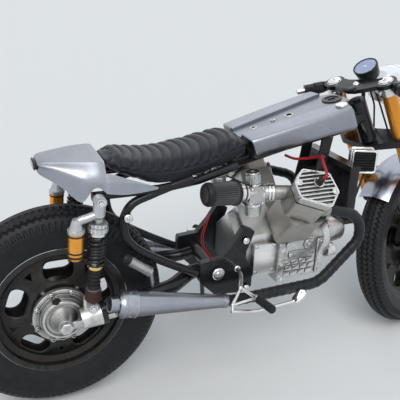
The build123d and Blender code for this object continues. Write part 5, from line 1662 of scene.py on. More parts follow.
def filter_form():
    """Pod filters with lengthwise pleats, a bright neck clamp and a rounded rubber end."""
    form = Form()
    sides = 132
    for side in (1, -1):
        front, rear = filter_ends(side)
        place = along(front, rear)
        length = (rear - front).length
        rings = []
        for z, radius, depth in ((24, 29, 0), (26, 40, 0), (30, 42, 0), (37, 42, 0), (38, 40, 0.4),
                                 (40, 39.6, 3.4), (length - 21, 35.6, 3.4), (length - 19, 35, 0)):
            ring = []
            for k in range(sides):
                reach = radius - depth * abs((k % 4) / 2 - 1)
                angle = k * math.tau / sides
                ring.append((reach * math.cos(angle), reach * math.sin(angle), z))
            rings.append(ring)
        form.add(skin(rings), 0, place)
        form.add(post(0, 25, 27.6, 40), 1, place)
        collar = [(24, 28), (25, 41), (28, 42.6), (36, 42.6), (37, 40), (37, 30)]
        form.add(lathe(collar, 56, loop=True), 1, place)
        end = [(length - 22, 0), (length - 22, 36.5), (length - 20, 38.4), (length - 10, 38.0),
               (length - 3, 34), (length, 27), (length - 1.5, 24), (length - 1.5, 0)]
        form.add(lathe(end, 56), 1, place)
        form.add(band(4, 17, 27.4, 29.6, 44), 2, place)
        form.add(brick((-5, 28, 4), (5, 34, 17), 1), 2, place)
    return form


# Engine cases: places of the bolts on the joint flange, the side wall and the rear case (X, Z)
FLANGE_BOLTS = [(746, 366), (746, 420), (746, 478)]
WALL_BOLTS = [(905, 376), (905, 486), (856, 482), (770, 492), (782, 450), (872, 450)]
REAR_BOLTS = [(655, 398), (722, 398), (655, 494), (722, 494)]
CASE_HALF = 122.0
CRANK_Z = 450.0
DECK_LOW = 119.7
JOINT_X = 735.0
DECK_X = 757.0
CASE_FRONT_X = 922.0
BRICK_ROWS = 3
BRICK_COLUMNS = 4
BRICK_PITCH = 31
BRICK_RISE = 22


def case_outline(half, low):
    """Section of the crankcase under the two decks, Y and Z."""
    roof = CRANK_Z + DECK_LOW / math.cos(V_ANGLE)
    eave = roof - half * math.tan(V_ANGLE)
    return rounded([(-half, low), (half, low), (half, eave), (0, roof), (-half, eave)], [8, 8, 3, 2, 3], 4)


def front_case_form():
    """Crankcase with its flange, brick-like ribs, bare plate, rib, boss and turned front cover."""
    lengthwise = Matrix(((0, 0, 1, 0), (1, 0, 0, 0), (0, 1, 0, 0), (0, 0, 0, 1)))
    form = Form()
    form.add(prism(case_outline(CASE_HALF + 8, 350), JOINT_X, DECK_X, 2, 2), 0, lengthwise)
    form.add(prism(case_outline(CASE_HALF, 354), DECK_X - 1, CASE_FRONT_X, 2.5, 2), 0, lengthwise)
    ahead = along((CASE_FRONT_X, 0, CRANK_Z + 6), (CASE_FRONT_X + 1, 0, CRANK_Z + 6))
    form.add(lathe([(-2, 0), (-2, 96), (48, 92.6), (53, 89), (53, 0)], 80), 0, ahead)
    nose = along((975, 0, CRANK_Z + 16), (976, 0, CRANK_Z + 16))
    form.add(lathe([(-2, 0), (-2, 62), (0, 62), (86, 51), (93, 46), (93, 0)], 64), 0, nose)
    knob = along((974, -64, CRANK_Z - 40), (975, -64, CRANK_Z - 40))
    form.add(lathe([(-1, 0), (-1, 26), (34, 22.6), (38, 19), (38, 0)], 40), 0, knob)
    for side in (-1, 1):
        low_y, high_y = sorted((side * (CASE_HALF - 2), side * (CASE_HALF + 3)))
        deep_y, far_y = sorted((side * (CASE_HALF - 2), side * (CASE_HALF + 6)))
        for row in range(BRICK_ROWS):
            for column in range(BRICK_COLUMNS):
                x, z = 773 + BRICK_PITCH * column + 7 * (row % 2), 376 + BRICK_RISE * row
                form.add(brick((x - 13.5, low_y, z - 9), (x + 13.5, high_y, z + 9), 1.6, 2))
        form.add(brick((777, low_y, 437), (877, high_y, 463), 1.4, 2), 1)
        form.add(brick((891, deep_y, 362), (919, far_y, 498), 3.5, 3))
        boss = along((856, side * (CASE_HALF - 2), 482), (856, side * CASE_HALF, 482))
        form.add(lathe([(0, 0), (0, 19), (6.6, 19), (8, 17.4), (8, 0)], 36), 0, boss)
    return form


def case_form():
    """Lugs and bolts of the engine's flange, side walls, front cover and rear case."""
    form = Form()
    for side in (-1, 1):
        for x, z in FLANGE_BOLTS:
            here = Vector((x, side * (CASE_HALF + 6), z))
            form.add(lathe([(0, 0), (0, 13), (4, 12), (4, 0)], 24), 0, out_of(here, side))
            form.add(hex_bolt(6, 7), 1, out_of(here + Vector((0, side * 4, 0)), side))
        for x, z in WALL_BOLTS:
            here = Vector((x, side * (CASE_HALF + (6 if x > 840 and z != 450 else 3)), z))
            form.add(socket_bolt(6.0, 4.5), 1, out_of(here, side))
        for k in range(3):
            x = 600 + k * 10
            form.add(brick((x, side * 90 - 4, 470), (x + 4, side * 90 + 4, 506), 1.2), 2)
        for x, z in REAR_BOLTS:
            form.add(socket_bolt(5.5, 4), 1, out_of((x, side * 114, z), side))
    for k in range(8):
        angle = k * math.tau / 8 + 0.2
        here = Vector((975, 84 * math.cos(angle), 456 + 84 * math.sin(angle)))
        form.add(lathe([(-4, 0), (-4, 10), (2, 9), (2, 0)], 20), 0, along(here, here + Vector((1, 0, 0))))
        form.add(hex_bolt(5.5, 7), 1, along(here + Vector((2, 0, 0)), here + Vector((3, 0, 0))))
    return form


DRIVE_BOLTS = 8
# Lays an outline of X and Z on the right of the machine, its depth going right
SIDEWAYS = Matrix(((1, 0, 0, 0), (0, 0, -1, 0), (0, 1, 0, 0), (0, 0, 0, 1)))


def drive_form():
    """Turned bevel-gear housing with its neck, shock lug, flange bolts, plug, lip and finger."""
    form = Form()
    out = Vector((0, -1, 0))
    nose = along((0, -52, REAR_AXLE_Z), (0, -53, REAR_AXLE_Z))
    housing = [(0, 12), (0, 84), (4, 90), (18, 90), (20, 86), (20, 76), (38, 68), (46, 65), (48, 63),
               (48, 57), (43, 53), (43, 45), (50, 40), (58, 35), (78, 26), (90, 22), (90, 12)]
    form.add(lathe(housing, 96, loop=True), 2, nose)
    joint_end = Vector((112, -112, 356))
    run = (Vector((350, -108, 398)) - joint_end).normalized()
    neck = lathe([(0, 0), (0, 32), (50, 38), (61.5, 39), (61.5, 0)], 48)
    form.add(neck, 2, along(joint_end - run * 62, joint_end))
    eye = Vector((SHOCK_LOW[0], -112, SHOCK_LOW[1]))
    lug = lathe([(0, 0), (0, 18), (42, 18), (50, 12), (50, 0)], 32)
    form.add(lug, 2, along(eye - Vector((0, 0, 42)), eye))
    form.add(post(0, 68, 8, 24), 0, along(eye, eye + out))
    top = Vector((-20, -72, REAR_AXLE_Z + 66))
    form.add(post(0, 24, 11, 28), 2, along(top, top + out))
    form.add(prism(rounded([(-52, 274), (-44, 262), (44, 262), (52, 274)], 3, 3), 54, 68, 1, 1), 2, SIDEWAYS)
    finger = rounded([(2, 330), (2, 356), (158, 363), (172, 356), (166, 348)], 3, 3)
    form.add(prism(finger, 134, 142, 1.2, 2), 2, SIDEWAYS)
    form.add(lathe([(90.3, 0), (90.3, 19.6), (100, 19.6), (101.5, 17.5), (101.5, 0)], 6), 3, nose)
    for k in range(DRIVE_BOLTS):
        angle = (k + 0.5) * math.tau / DRIVE_BOLTS
        here = Vector((83 * math.cos(angle), -62, REAR_AXLE_Z + 83 * math.sin(angle)))
        form.add(lathe([(0, 0), (0, 9), (16, 9), (17, 8), (17, 0)], 24), 2, along(here, here + out))
        form.add(socket_bolt(6.6, 6), 0, along(here + out * 17, here + out * 18))
    form.add(band(87.5, 90.6, 17, 24, 40), 0, nose)
    form.add(band(21, 25, 74, 78, 72), 0, nose)
    form.add(band(34, 37, 66, 70.5, 72), 0, nose)
    plug = along((-20, -96, REAR_AXLE_Z + 66), (-20, -97, REAR_AXLE_Z + 66))
    form.add(band(-2, 2, 8, 13, 28), 1, plug)
    form.add(hex_bolt(8, 8), 1, plug)
    drain = along((0, -70, 262), (0, -70, 250))
    form.add(hex_bolt(8, 7), 0, drain)
    return form


# Wheels: radius of the hub, radius and width of the rim
WHEELS = {"rear": (84.0, 216.0, 96.0), "front": (46.0, 255.0, 70.0)}
SPOKE_COUNT = 5


def wheel_form(hub_r, rim_r, rim_w):
    """Raised beads round the windows and holes of the pressed spokes, and the hub's bolts."""
    form = Form()
    outer_r = rim_r - 34
    low_y, high_y = rim_w * 0.2 - 2, 44.0
    window_in, window_out = hub_r + 22, outer_r - 12
    middle, reach = (window_in + window_out) / 2, window_out - window_in
    wide = middle * 0.72
    corners = [(-reach, -wide), (reach, -wide), (reach, wide), (-reach, wide)]
    window = rounded([(x / 2, y / 2) for x, y in corners], min(reach, wide) * 0.44, 8)
    hole = [(15 * math.cos(math.radians(a)), 15 * math.sin(math.radians(a))) for a in (180, 300, 60)]

    def laid(points, centre, turn, side):
        path = []
        for u, v in points:
            x, z = centre + u, v
            size = math.hypot(x, z)
            held = min(max(size, window_in), window_out)
            x, z = x * held / size, z * held / size
            y = high_y + (low_y - high_y) * (held - hub_r - 12) / (outer_r - hub_r - 12)
            path.append((x * math.cos(turn) - z * math.sin(turn), side * (y + 0.4),
                         x * math.sin(turn) + z * math.cos(turn)))
        return path

    for side in (-1, 1):
        for k in range(SPOKE_COUNT):
            turn = math.radians(18 + 360 / SPOKE_COUNT * k)
            form.add(tube(laid(window, middle, turn, side), 2.6, 8, closed=True), 0)
            turn += math.radians(180 / SPOKE_COUNT)
            form.add(tube(laid(hole, window_out - 16, turn, side), 1.8, 8, closed=True), 0)
            here = Vector(((hub_r + 4) * math.cos(turn), side * 44, (hub_r + 4) * math.sin(turn)))
            form.add(hex_bolt(5.5, 7), 1, out_of(here, side))
    return form


# Louvred box and the radiator behind it
BOX_PLACE = Matrix.Translation((1080, -80, 758)) @ Matrix.Rotation(math.radians(-22), 4, "Z")
BOX_STAYS = [
    ((1030, -66, 700), (1062, -78, 722), 6),
    ((1050, -86, 720), (1031, -120, 570), 4),
    ((1106, -72, 720), (1031, -104, 568), 4),
]
SLAT_COUNT = 7
SLAT_PITCH = 10
SLAT_TURN = Matrix.Rotation(math.radians(35), 4, "X")
COOLING_SLATS = 24
COOLING_PITCH = 7.3


def box_form():
    """Louvred box with its bright frame and slats, on its stays and grey plate."""
    form = Form()
    form.add(brick((-39, -13, -37), (39, 15, 37), 4, 3), 2, BOX_PLACE)
    for start, end, radius in BOX_STAYS:
        form.add(tube([start, end], radius, 16), 2)
    form.add(brick((1027.3, -138, 546), (1036, -92, 574), 2, 2), 3)
    edge = [(-42, -40), (42, -40), (42, 40), (-42, 40)]
    for face_y in (-19, 19):
        outline = [(x, face_y, z) for x, z in rounded(edge, 10, 6)]
        form.add(tube(outline, 4.6, 12, closed=True), 0, BOX_PLACE)
    flat = Matrix(((1, 0, 0, 0), (0, 0, 1, 0), (0, 1, 0, 0), (0, 0, 0, 1)))
    sleeve = hoop(rounded(edge, 10, 6), rounded(shrunk(edge, 4), 8, 6), -19, 19)
    form.add(sleeve, 1, BOX_PLACE @ flat)
    for k in range(SLAT_COUNT):
        slat = BOX_PLACE @ Matrix.Translation((0, -18, -30 + k * SLAT_PITCH)) @ SLAT_TURN
        form.add(brick((-37, -4, -0.9), (37, 4, 0.9), 0.5, 1), 2, slat)
    return form


def radiator_form():
    """Fine cooling slats and end tank seams of the radiator."""
    form = Form()
    for k in range(COOLING_SLATS):
        z = 566 + k * COOLING_PITCH
        form.add(brick((988.6, -135, z), (1023.4, 135, z + 1.6), 0.4, 1))
    for y in (-136, 136):
        form.add(brick((987.5, y - 3, 562), (1024.5, y + 3, 740), 1))
    return form


def deck_frame(x, y, lift):
    """Matrix lying on the tank's centre plate."""
    rise = math.atan(TANK_RISE)
    run, up = Vector((math.cos(rise), 0, math.sin(rise))), Vector((-math.sin(rise), 0, math.cos(rise)))
    place = Matrix.Translation(Vector((x, y, tank_plate_z(x))) + up * lift)
    return place @ Matrix((run, Vector((0, 1, 0)), up)).transposed().to_4x4()


FILLER_X = 976.0
FILLER_R = 34.0
CAP_PLACE = (949.0, -99.0)
CAP_R = 20.0
PLATE_HOLES = [(671.0, 9.0), (805.0, 13.0)]
PLATE_FRONT_X = 1014.0


def plate_form():
    """Flat plate between the lobes, with a tongue in front and its holes."""
    slope = math.cos(math.atan(TANK_RISE))
    rear, front = LOBES[0], LOBES[-1]
    half = [(0, rear[1] - 0.3), ((front[0] - rear[0]) / slope, front[1] - 0.3),
            ((PLATE_FRONT_X - rear[0]) / slope, front[1] - 22)]
    outline = [(x, -y) for x, y in half] + list(reversed(half))
    holes = [((x - rear[0]) / slope, 0, radius) for x, radius in PLATE_HOLES + [(FILLER_X, FILLER_R - 10)]]
    form = Form()
    form.add(holed(outline, holes, -3, 0), 0, deck_frame(rear[0], 0, 0))
    return form


def tank_trim_form():
    """Edge beads of the plate's holes, its bolt, the filler's ring and the knurled cap."""
    form = Form()
    for x, radius in PLATE_HOLES:
        form.add(band(-2.5, 1.6, radius - 1.2, radius + 2.2, 36), 0, deck_frame(x, 0, 0))
    form.add(socket_bolt(8, 5), 0, deck_frame(743, 0, 0))
    ring = deck_frame(FILLER_X, 0, 0.3)
    form.add(band(-2, 4, FILLER_R - 9.6, FILLER_R + 0.8, 60), 1, ring)
    lid = [(-5, 0), (-5, FILLER_R - 10), (1, FILLER_R - 10), (2.4, FILLER_R - 13), (2.6, 0)]
    form.add(lathe(lid, 48), 1, ring)
    form.add(brick((-15, -2.4, 2), (15, 2.4, 6), 1.2), 1, ring)
    cap = deck_frame(CAP_PLACE[0], CAP_PLACE[1], LOBE_STEP - 2)
    form.add(prism(star(CAP_R, 0.8, 36), 0, 6, 0.8, 1), 0, cap)
    form.add(lathe([(5.6, 0), (5.6, CAP_R - 2), (7.2, CAP_R - 3.4), (7.2, 0)], 40), 0, cap)
    return form


# Bosses of the frame: X, Y, Z, radius of the cap
FRAME_BOSSES = [(196, 132, 672, 14), (508, 125, 425, 22), (606, 124, 531, 12), (617, 126, 352, 12)]


def frame_trim_form():
    """Bolts and caps on the frame's bosses, and the two red wires behind the pivot plate."""
    form = Form()
    for side in (-1, 1):
        out = Vector((0, side, 0))
        for x, y, z, radius in FRAME_BOSSES:
            place = out_of((x, side * y, z), side)
            cap = [(-0.5, 0), (-0.5, radius), (2, radius - 0.4), (4, radius - 3), (4.4, 0)]
            form.add(lathe(cap, 36), 0, place)
            form.add(socket_bolt(radius * 0.42, 7), 0, place)
        for place in (SHOCK_TOP, SHOCK_LOW):
            here = Vector((place[0], side * (SHOCK_Y + 15), place[1]))
            form.add(post(0, 2, 13, 30), 0, along(here, here + out))
            form.add(hex_bolt(8, 9), 0, along(here + out * 2, here + out * 3))
    wire = [(470, -104, 640), (456, -108, 600), (447, -109, 566), (450, -110, 530), (468, -108, 500),
            (488, -106, 470)]
    for shift in (0, 7):
        form.add(tube(spline([(x + shift, y, z) for x, y, z in wire]), 1.3, 10), 1)
    return form


LOOP_Y = 106.0
LOOP_ROUTE = [(410, 768), (345, 752), (277, 731), (218, 709), (191, 672), (188, 632), (203, 584), (245, 542),
              (327, 490), (437, 430)]


def loop_form():
    """Frame tubes that leave the seat rails, sweep down behind them and run to the pivot plates."""
    form = Form()
    for side in (-1, 1):
        form.add(tube(spline([(x, side * LOOP_Y, z) for x, z in LOOP_ROUTE]), 13.5, 24))
        form.add(post(0, 24, 14, 32), 0, out_of((196, side * (LOOP_Y + 2), 672), side))
    return form


CAN_TOP = Vector((178, -136, 549))
CAN_LOW = Vector((268, -136, 480))


def can_form():
    """Slim can with its dark cap, bands and foot."""
    place = along(CAN_TOP, CAN_LOW)
    form = Form()
    length = (CAN_LOW - CAN_TOP).length
    form.add(lathe([(20, 0), (20, 15), (length - 3, 15), (length, 12), (length, 0)], 32), 1, place)
    form.add(tube([CAN_LOW, (284, -109, 412)], 6.5, 16), 1)
    cap = [(-3, 0), (-2.4, 8), (0, 13), (4, 16), (10, 17), (24, 17), (25, 15), (25, 0)]
    form.add(lathe(cap, 32), 0, place)
    for z in (34, 88, 104):
        form.add(band(z, z + 6, 14.4, 16.6, 32), 1, place)
    return form


REST_Y = 226.0
REST_CORNERS = {"top": (540.0, 424.0), "front": (600.0, 376.0), "rear": (516.0, 366.0)}
REST_BOLT = (572.0, 440.0)
REST_RIBS = 11
PEDAL_Y = 234.0
PEDAL_ROUTE = [(508.0, 348.0), (600.0, 330.0), (742.0, 338.0)]


def bracket_form():
    """Polished triangles that carry the footrests, with the pedal rods under them."""
    form = Form()
    for side in (-1, 1):
        top, front, rear = (Vector((x, side * REST_Y, z)) for x, z in REST_CORNERS.values())
        bolt = Vector((REST_BOLT[0], side * 118.3, REST_BOLT[1]))
        out = Vector((0, side, 0))
        form.add(lathe([(0, 0), (0, 11), (20, 11), (22, 9), (22, 0)], 28), 0, out_of(bolt, side))
        arm = spline([bolt + out * 14, bolt + out * 60 + Vector((-8, 0, -2)), top])
        form.add(tube(arm, 7, 18), 0)
        for a, b, radius in ((top, front, 6), (top, rear, 5), (rear, front, 5)):
            form.add(tube([a, b], radius, 18), 0)
        for place, radius in ((top, 7.6), (front, 9.6), (rear, 6.4)):
            form.add(ball(radius, 24), 0, Matrix.Translation(place))
        route = [(x, side * PEDAL_Y, z) for x, z in PEDAL_ROUTE]
        form.add(tube(bent_path(route, [120.0]), 5.5, 16), 0)
        form.add(tube([(512, side * PEDAL_Y, 348), rear], 4.6, 14), 0)
        form.add(ball(7, 20), 0, Matrix.Translation(route[-1]))
    return form


def controls_form():
    """Ribbed rubbers of the footrests and bright oval pads of the pedals."""
    form = Form()
    for side in (-1, 1):
        start, end = Vector((601, side * 235.3, 377)), Vector((610, side * 321, 384))
        length = (end - start).length
        profile = [(0, 0), (0, 9)]
        for k in range(REST_RIBS):
            low = 4 + k * (length - 8) / REST_RIBS
            high = low + (length - 8) / REST_RIBS
            profile += [(low, 12), (low + 1.2, 14), (high - 2.6, 14), (high - 1.4, 12)]
        profile += [(length - 2, 12), (length, 9), (length, 0)]
        form.add(lathe(profile, 36), 0, along(start, end))
        pad = Matrix.Translation((762, side * PEDAL_Y, 352)) @ Matrix.Rotation(math.radians(-38), 4, "Y")
        form.add(prism(oval(29, 17, 40), -5, 5, 2, 3), 1, pad)
    return form


# Route of a shock's cast head, X and Z, with its radius and how much it widens to the reservoir
HEAD_ROUTE = [(101, 728), (92, 712), (74, 703), (54, 702), (40, 694), (34, 680), (34, 668)]
HEAD_R = 14.5
HEAD_FLARE = 8.5


def shock_head_form():
    """Cast heads that sweep from the shock to its reservoir, with the ribbed shaft and collars."""
    form = Form()
    for side in (-1, 1):
        y = side * SHOCK_Y
        path = spline([(x, y, z) for x, z in HEAD_ROUTE])
        sizes = []
        for i in range(len(path)):
            share = i / (len(path) - 1)
            waist = 3.0 * math.sin(math.pi * i / (len(path) - 1))
            sizes.append(HEAD_R + HEAD_FLARE * max(0.0, share - 0.6) / 0.4 - waist)
        form.add(tube(path, sizes, 28), 0)
        place = shock_frame(side)
        form.add(lathe([(6, 0), (6, 18.6), (44, 18.2), (49, 13), (49, 0)], 36), 0, place)
        ribs = [(49, 0), (49, 13)]
        for k in range(4):
            ribs += [(50 + k * 3.5, 15.4), (51.8 + k * 3.5, 15.4), (52.4 + k * 3.5, 13)]
        form.add(lathe(ribs + [(64, 13), (64, 0)], 36), 1, place)
        form.add(prism(star(28.2, 2.2, 14), 64.4, 75.6, 0.7, 1), 1, place)
        form.add(prism(star(31.0, 2.2, 14), 77.4, 89.6, 0.7, 1), 1, place)
        form.add(band(90, 102, 20, 25.4, 36), 1, place)
        top, low = Vector((34, y, 672)), Vector((30, y, 584))
        can = along(top, low)
        form.add(band(-2, 9, 20, 25.4, 40), 0, can)
        for z in (14, 66, 78):
            form.add(band(z, z + 5, 20, 24.4, 40), 2, can)
        form.add(lathe([(86, 0), (86, 21.5), (92, 19), (94, 10), (94, 0)], 36), 3, can)
    return form


TAIL_LAMP_Z = 826


def tail_trim_form():
    """Oval tail lamp on its base, with its bezel."""
    form = Form()
    rearward = Matrix(((0, 0, -1, -52), (1, 0, 0, 0), (0, 1, 0, TAIL_LAMP_Z), (0, 0, 0, 1)))
    for half_w, half_h, low, high, finish in ((38, 13, -1, 5, 1), (35, 10, 4, 9, 2)):
        form.add(prism(oval(half_w, half_h, 48), low, high, 1.2, 2), finish, rearward)
    ring = [(-57.2, y, TAIL_LAMP_Z + z) for y, z in oval(39.5, 14.2, 48)]
    form.add(tube(ring, 1.8, 10, closed=True), 0)
    return form


# Operators: one for each piece or group of like pieces


class DressStage(bpy.types.Operator):
    """Adds the floor, the soft lamps, the sky and the photograph's camera"""

    bl_idname = "racer.stage"
    bl_label = "Stage"

    def execute(self, context):
        scene = context.scene
        scene.view_settings.view_transform = "Standard"
        scene.world = bpy.data.worlds.new("soft_sky")
        mix_world(scene.world)
        add_camera()
        add_lamps()
        add_floor()
        return {"FINISHED"}


class DressNodes(bpy.types.Operator):
    """Paints every construction node with its finish"""

    bl_idname = "racer.nodes"
    bl_label = "Finishes"

    def execute(self, context):
        finish_nodes()
        return {"FINISHED"}


class DressTyres(bpy.types.Operator):
    """Moulds the two tyres with their zigzag tread"""

    bl_idname = "racer.tyres"
    bl_label = "Tyres"

    def execute(self, context):
        for end, sizes in TYRES.items():
            dress(f"{end}_tyre_tread", tyre_form(*sizes), ["tyre"], f"{end}_wheel", [f"{end}_tyre"],
                  40)
        return {"FINISHED"}


class DressRims(bpy.types.Operator):
    """Adds the polished lips of both rims"""

    bl_idname = "racer.rims"
    bl_label = "Rim lips"

    def execute(self, context):
        for end, radius, half in RIM_LIPS:
            form = Form()
            for side in (-1, 1):
                form.add(ring_line(radius, side * half, 1.8))
            dress(f"{end}_rim_lips", form, ["bright alloy"], f"{end}_wheel")
        return {"FINISHED"}


class DressSeat(bpy.types.Operator):
    """Puffs the seat pad, then sews its ribs and its side seam"""

    bl_idname = "racer.seat"
    bl_label = "Seat"

    def execute(self, context):
        look = settings("racer_seat")
        form = Form()
        first, last = SEAT_STATIONS[0][0], SEAT_STATIONS[-1][0]
        form.add(skin([seat_ring(first + (last - first) * i / 60) for i in range(61)]))
        seat = dress("seat_pad", form, ["seat cover"], "root", ["seat"], 80)
        swell(seat, look.swell_cap)
        smooth = seat.modifiers.new("fine", "SUBSURF")
        smooth.levels = 1
        apply_modifiers(seat)
        sew_seat(seat)
        seat.data.materials.clear()
        seat.data.materials.append(surface("seat cover"))
        seat.data.shade_smooth()
        return {"FINISHED"}


class DressTank(bpy.types.Operator):
    """Rolls the two tank lobes in sheet metal"""

    bl_idname = "racer.tank"
    bl_label = "Tank"

    def execute(self, context):
        form = Form()
        for side in (-1, 1):
            form.add(lobe_form(side))
        dress("tank_sheets", form, ["sheet metal"], "root", ["tank_lobes"], 50)
        return {"FINISHED"}


class DressTail(bpy.types.Operator):
    """Folds the tail's sheet metal"""

    bl_idname = "racer.tail"
    bl_label = "Tail"

    def execute(self, context):
        tail = dress("tail_sheet", tail_form(), ["sheet metal"], "root", ["tail_cowl"], 60)
        weld = tail.modifiers.new("weld", "WELD")
        weld.merge_threshold = 0.0003
        fine = tail.modifiers.new("fine", "SUBSURF")
        fine.levels = 2
        wall = tail.modifiers.new("wall", "SOLIDIFY")
        wall.thickness = 0.0022
        wall.offset = -1
        apply_modifiers(tail)
        tail.data.shade_smooth()
        tail.data.set_sharp_from_angle(angle=math.radians(50))
        return {"FINISHED"}


class DressShocks(bpy.types.Operator):
    """Winds the springs and adds the rings and bump stops of the shocks"""

    bl_idname = "racer.shocks"
    bl_label = "Shocks"

    def execute(self, context):
        dress("spring_coils", spring_form(), ["frame black"], "root", ["shock_springs"])
        form = Form()
        for side in (-1, 1):
            place = shock_frame(side)
            form.add(lathe(SHOCK_RING, 32, loop=True), 0, place)
            bellows = [(212, 9.4)]
            for k in range(5):
                bellows += [(214 + k * 12, 14), (219 + k * 12, 20), (224 + k * 12, 14)]
            bellows.append((274, 9.4))
            form.add(lathe(bellows, 32, loop=True), 1, place)
            form.add(lathe(SHOCK_BUMP, 36, loop=True), 2, place)
        dress("shock_trim", form, ["brass", "rubber", "rust bump"])
        dress("shock_heads", shock_head_form(), ["head white", "bright alloy", "clamp black", "gold"])
        return {"FINISHED"}


class DressFork(bpy.types.Operator):
    """Fits the top clamp, the bars with their levers, and the fork's caps, seals and cables"""

    bl_idname = "racer.fork"
    bl_label = "Bars and fork trim"

    def execute(self, context):
        dress("top_clamp_plate", clamp_form(), ["clamp black"], "steering", ["top_clamp"])
        dress("bars", bars_form(), ["bright alloy"], "steering", ["clip_ons"])
        dress("bar_controls", lever_form(), ["matt plastic", "rubber", "bright alloy"], "steering",
              ["levers"])
        dress("fork_trim", fork_form(), ["chrome", "rubber"], "steering")
        dress("front_cables", cable_form(), ["rubber"], "steering")
        return {"FINISHED"}


class DressLamps(bpy.types.Operator):
    """Adds the gauge with its dial, the headlamp's rim and lens, its arms and the tail lamp"""

    bl_idname = "racer.lamps"
    bl_label = "Lamps and gauge"

    def execute(self, context):
        dress("gauge_dial", gauge_form(), ["bright alloy", "dial face", "lamp white", "matt plastic"],
              "steering", ["gauge"])
        dress("headlamp_face", headlamp_form(), ["chrome", "lamp white"], "steering")
        dress("tail_lamp", tail_trim_form(), ["clamp black", "clamp black", "red lens"])
        arms = Form()
        for side in (-1, 1):
            corners = [steer_point(*place, side * 100) for place in ((880, 80), (905, 135), (1000, 195))]
            arms.add(tube(bent_path(corners, [25.0]), 8, 18))
        dress("lamp_arms", arms, ["clamp black"], "steering", ["lamp_ears"])
        return {"FINISHED"}


class DressExhaust(bpy.types.Operator):
    """Winds the headers in heat wrap and turns the silencers"""

    bl_idname = "racer.exhaust"
    bl_label = "Exhaust"

    def execute(self, context):
        dress("header_wrap", with_mirror(header_form()), ["pipe wrap", "dull alloy"], "root",
              ["headers"], 24)
        dress("silencer_bodies", with_mirror(silencer_form()), ["sheet metal", "dark hollow"], "root",
              ["silencers"])
        return {"FINISHED"}


class DressEngine(bpy.types.Operator):
    """Casts the head covers and the crankcase and adds the bolts, plugs and leads"""

    bl_idname = "racer.engine"
    bl_label = "Engine"

    def execute(self, context):
        dress("cover_lids", lid_form(), ["engine silver", "brown cast"], "root",
              ["head_covers"])
        dress("plug_leads", cover_form(), ["chrome", "rubber", "red lead"])
        dress("crankcase", front_case_form(), ["engine silver", "dull alloy"], "root",
              ["front_case"])
        dress("case_bolts", case_form(), ["cast alloy", "bright alloy", "dull alloy"])
        return {"FINISHED"}


class DressIntake(bpy.types.Operator):
    """Trims the carburettors and pleats the pod filters"""

    bl_idname = "racer.intake"
    bl_label = "Intake"

    def execute(self, context):
        dress("carburettor_trim", carb_form(), ["bright alloy", "rubber"])
        dress("filter_pleats", filter_form(), ["filter mesh", "rubber", "bright alloy"], "root",
              ["pod_filters"])
        return {"FINISHED"}


class DressDrive(bpy.types.Operator):
    """Turns the final drive's housing and fits its bolts and axle nut"""

    bl_idname = "racer.drive"
    bl_label = "Final drive"

    def execute(self, context):
        dress("drive_housing", drive_form(), ["dull alloy", "rubber", "cast alloy", "cast alloy"], "root",
              ["final_drive"])
        return {"FINISHED"}


class DressFront(bpy.types.Operator):
    """Builds the louvred box and the radiator's slats"""

    bl_idname = "racer.front"
    bl_label = "Box and radiator"

    def execute(self, context):
        dress("louvres", box_form(), ["chrome", "bright alloy", "matt plastic", "dull alloy"], "root",
              ["louvred_box"])
        dress("radiator_slats", radiator_form(), ["clamp black"])
        return {"FINISHED"}


class DressTankTrim(bpy.types.Operator):
    """Cuts the tank's centre plate and adds the filler, the cap and the bolt"""

    bl_idname = "racer.tank_trim"
    bl_label = "Tank plate and caps"

    def execute(self, context):
        dress("centre_plate", plate_form(), ["dark sheet"], "root", ["tank_plate"])
        dress("filler_trim", tank_trim_form(), ["bright alloy", "clamp black"])
        return {"FINISHED"}


class DressControls(bpy.types.Operator):
    """Bends the footrest brackets and pedals and ribs their rubbers"""

    bl_idname = "racer.controls"
    bl_label = "Footrests and pedals"

    def execute(self, context):
        dress("rest_brackets", bracket_form(), ["bright alloy"], "root",
              ["footrest_brackets", "foot_pedals"])
        dress("rest_rubbers", controls_form(), ["rubber", "chrome"], "root", ["footrest_pegs"])
        return {"FINISHED"}


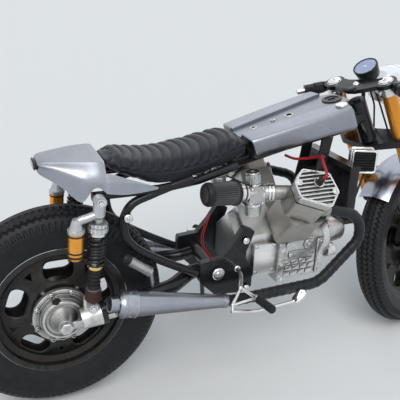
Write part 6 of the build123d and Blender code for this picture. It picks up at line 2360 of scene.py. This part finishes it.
class DressFrame(bpy.types.Operator):
    """Bends the rear loops and adds the frame's bolts and caps, the red wires and the slim can"""

    bl_idname = "racer.frame"
    bl_label = "Frame trim"

    def execute(self, context):
        dress("frame_bolts", frame_trim_form(), ["bright alloy", "red lead"])
        dress("side_can", can_form(), ["matt plastic", "dull alloy"])
        dress("frame_loops", loop_form(), ["frame black"], "root", ["rear_loops"])
        return {"FINISHED"}


class DressWheels(bpy.types.Operator):
    """Adds the beads round the windows of the pressed spokes and the hub bolts"""

    bl_idname = "racer.wheels"
    bl_label = "Wheel trim"

    def execute(self, context):
        for end, sizes in WHEELS.items():
            dress(f"{end}_spoke_beads", wheel_form(*sizes), ["wheel black", "dull alloy"], f"{end}_wheel")
        return {"FINISHED"}


OPERATORS = [
    DressStage, DressNodes, DressTyres, DressRims, DressWheels, DressSeat, DressTank, DressTankTrim,
    DressTail, DressShocks, DressFork, DressLamps, DressExhaust, DressEngine, DressIntake, DressDrive,
    DressFront, DressControls, DressFrame,
]
SETTINGS = {
    "racer_metal": MetalSettings,
    "racer_tyres": TyreSettings,
    "racer_seat": SeatSettings,
    "racer_stage": StageSettings,
}


class RacerPanel(bpy.types.Panel):
    """Lists the dressing steps and their settings"""

    bl_idname = "VIEW3D_PT_racer"
    bl_label = "Cafe Racer"
    bl_space_type = "VIEW_3D"
    bl_region_type = "UI"
    bl_category = "Cafe Racer"

    def draw(self, context):
        for operator in OPERATORS:
            self.layout.operator(operator.bl_idname)
        for name, group in SETTINGS.items():
            box = self.layout.box()
            for key in group.__annotations__:
                box.prop(getattr(context.scene, name), key)


def register():
    for item in [*SETTINGS.values(), *OPERATORS, RacerPanel]:
        bpy.utils.register_class(item)
    for name, group in SETTINGS.items():
        setattr(bpy.types.Scene, name, PointerProperty(type=group))


def unregister():
    for name in SETTINGS:
        delattr(bpy.types.Scene, name)
    for item in reversed([*SETTINGS.values(), *OPERATORS, RacerPanel]):
        bpy.utils.unregister_class(item)


def main():
    """Registers the add-on and runs its steps in order."""
    register()
    for operator in OPERATORS:
        group, name = operator.bl_idname.split(".")
        getattr(getattr(bpy.ops, group), name)()


if __name__ == "__main__":
    main()
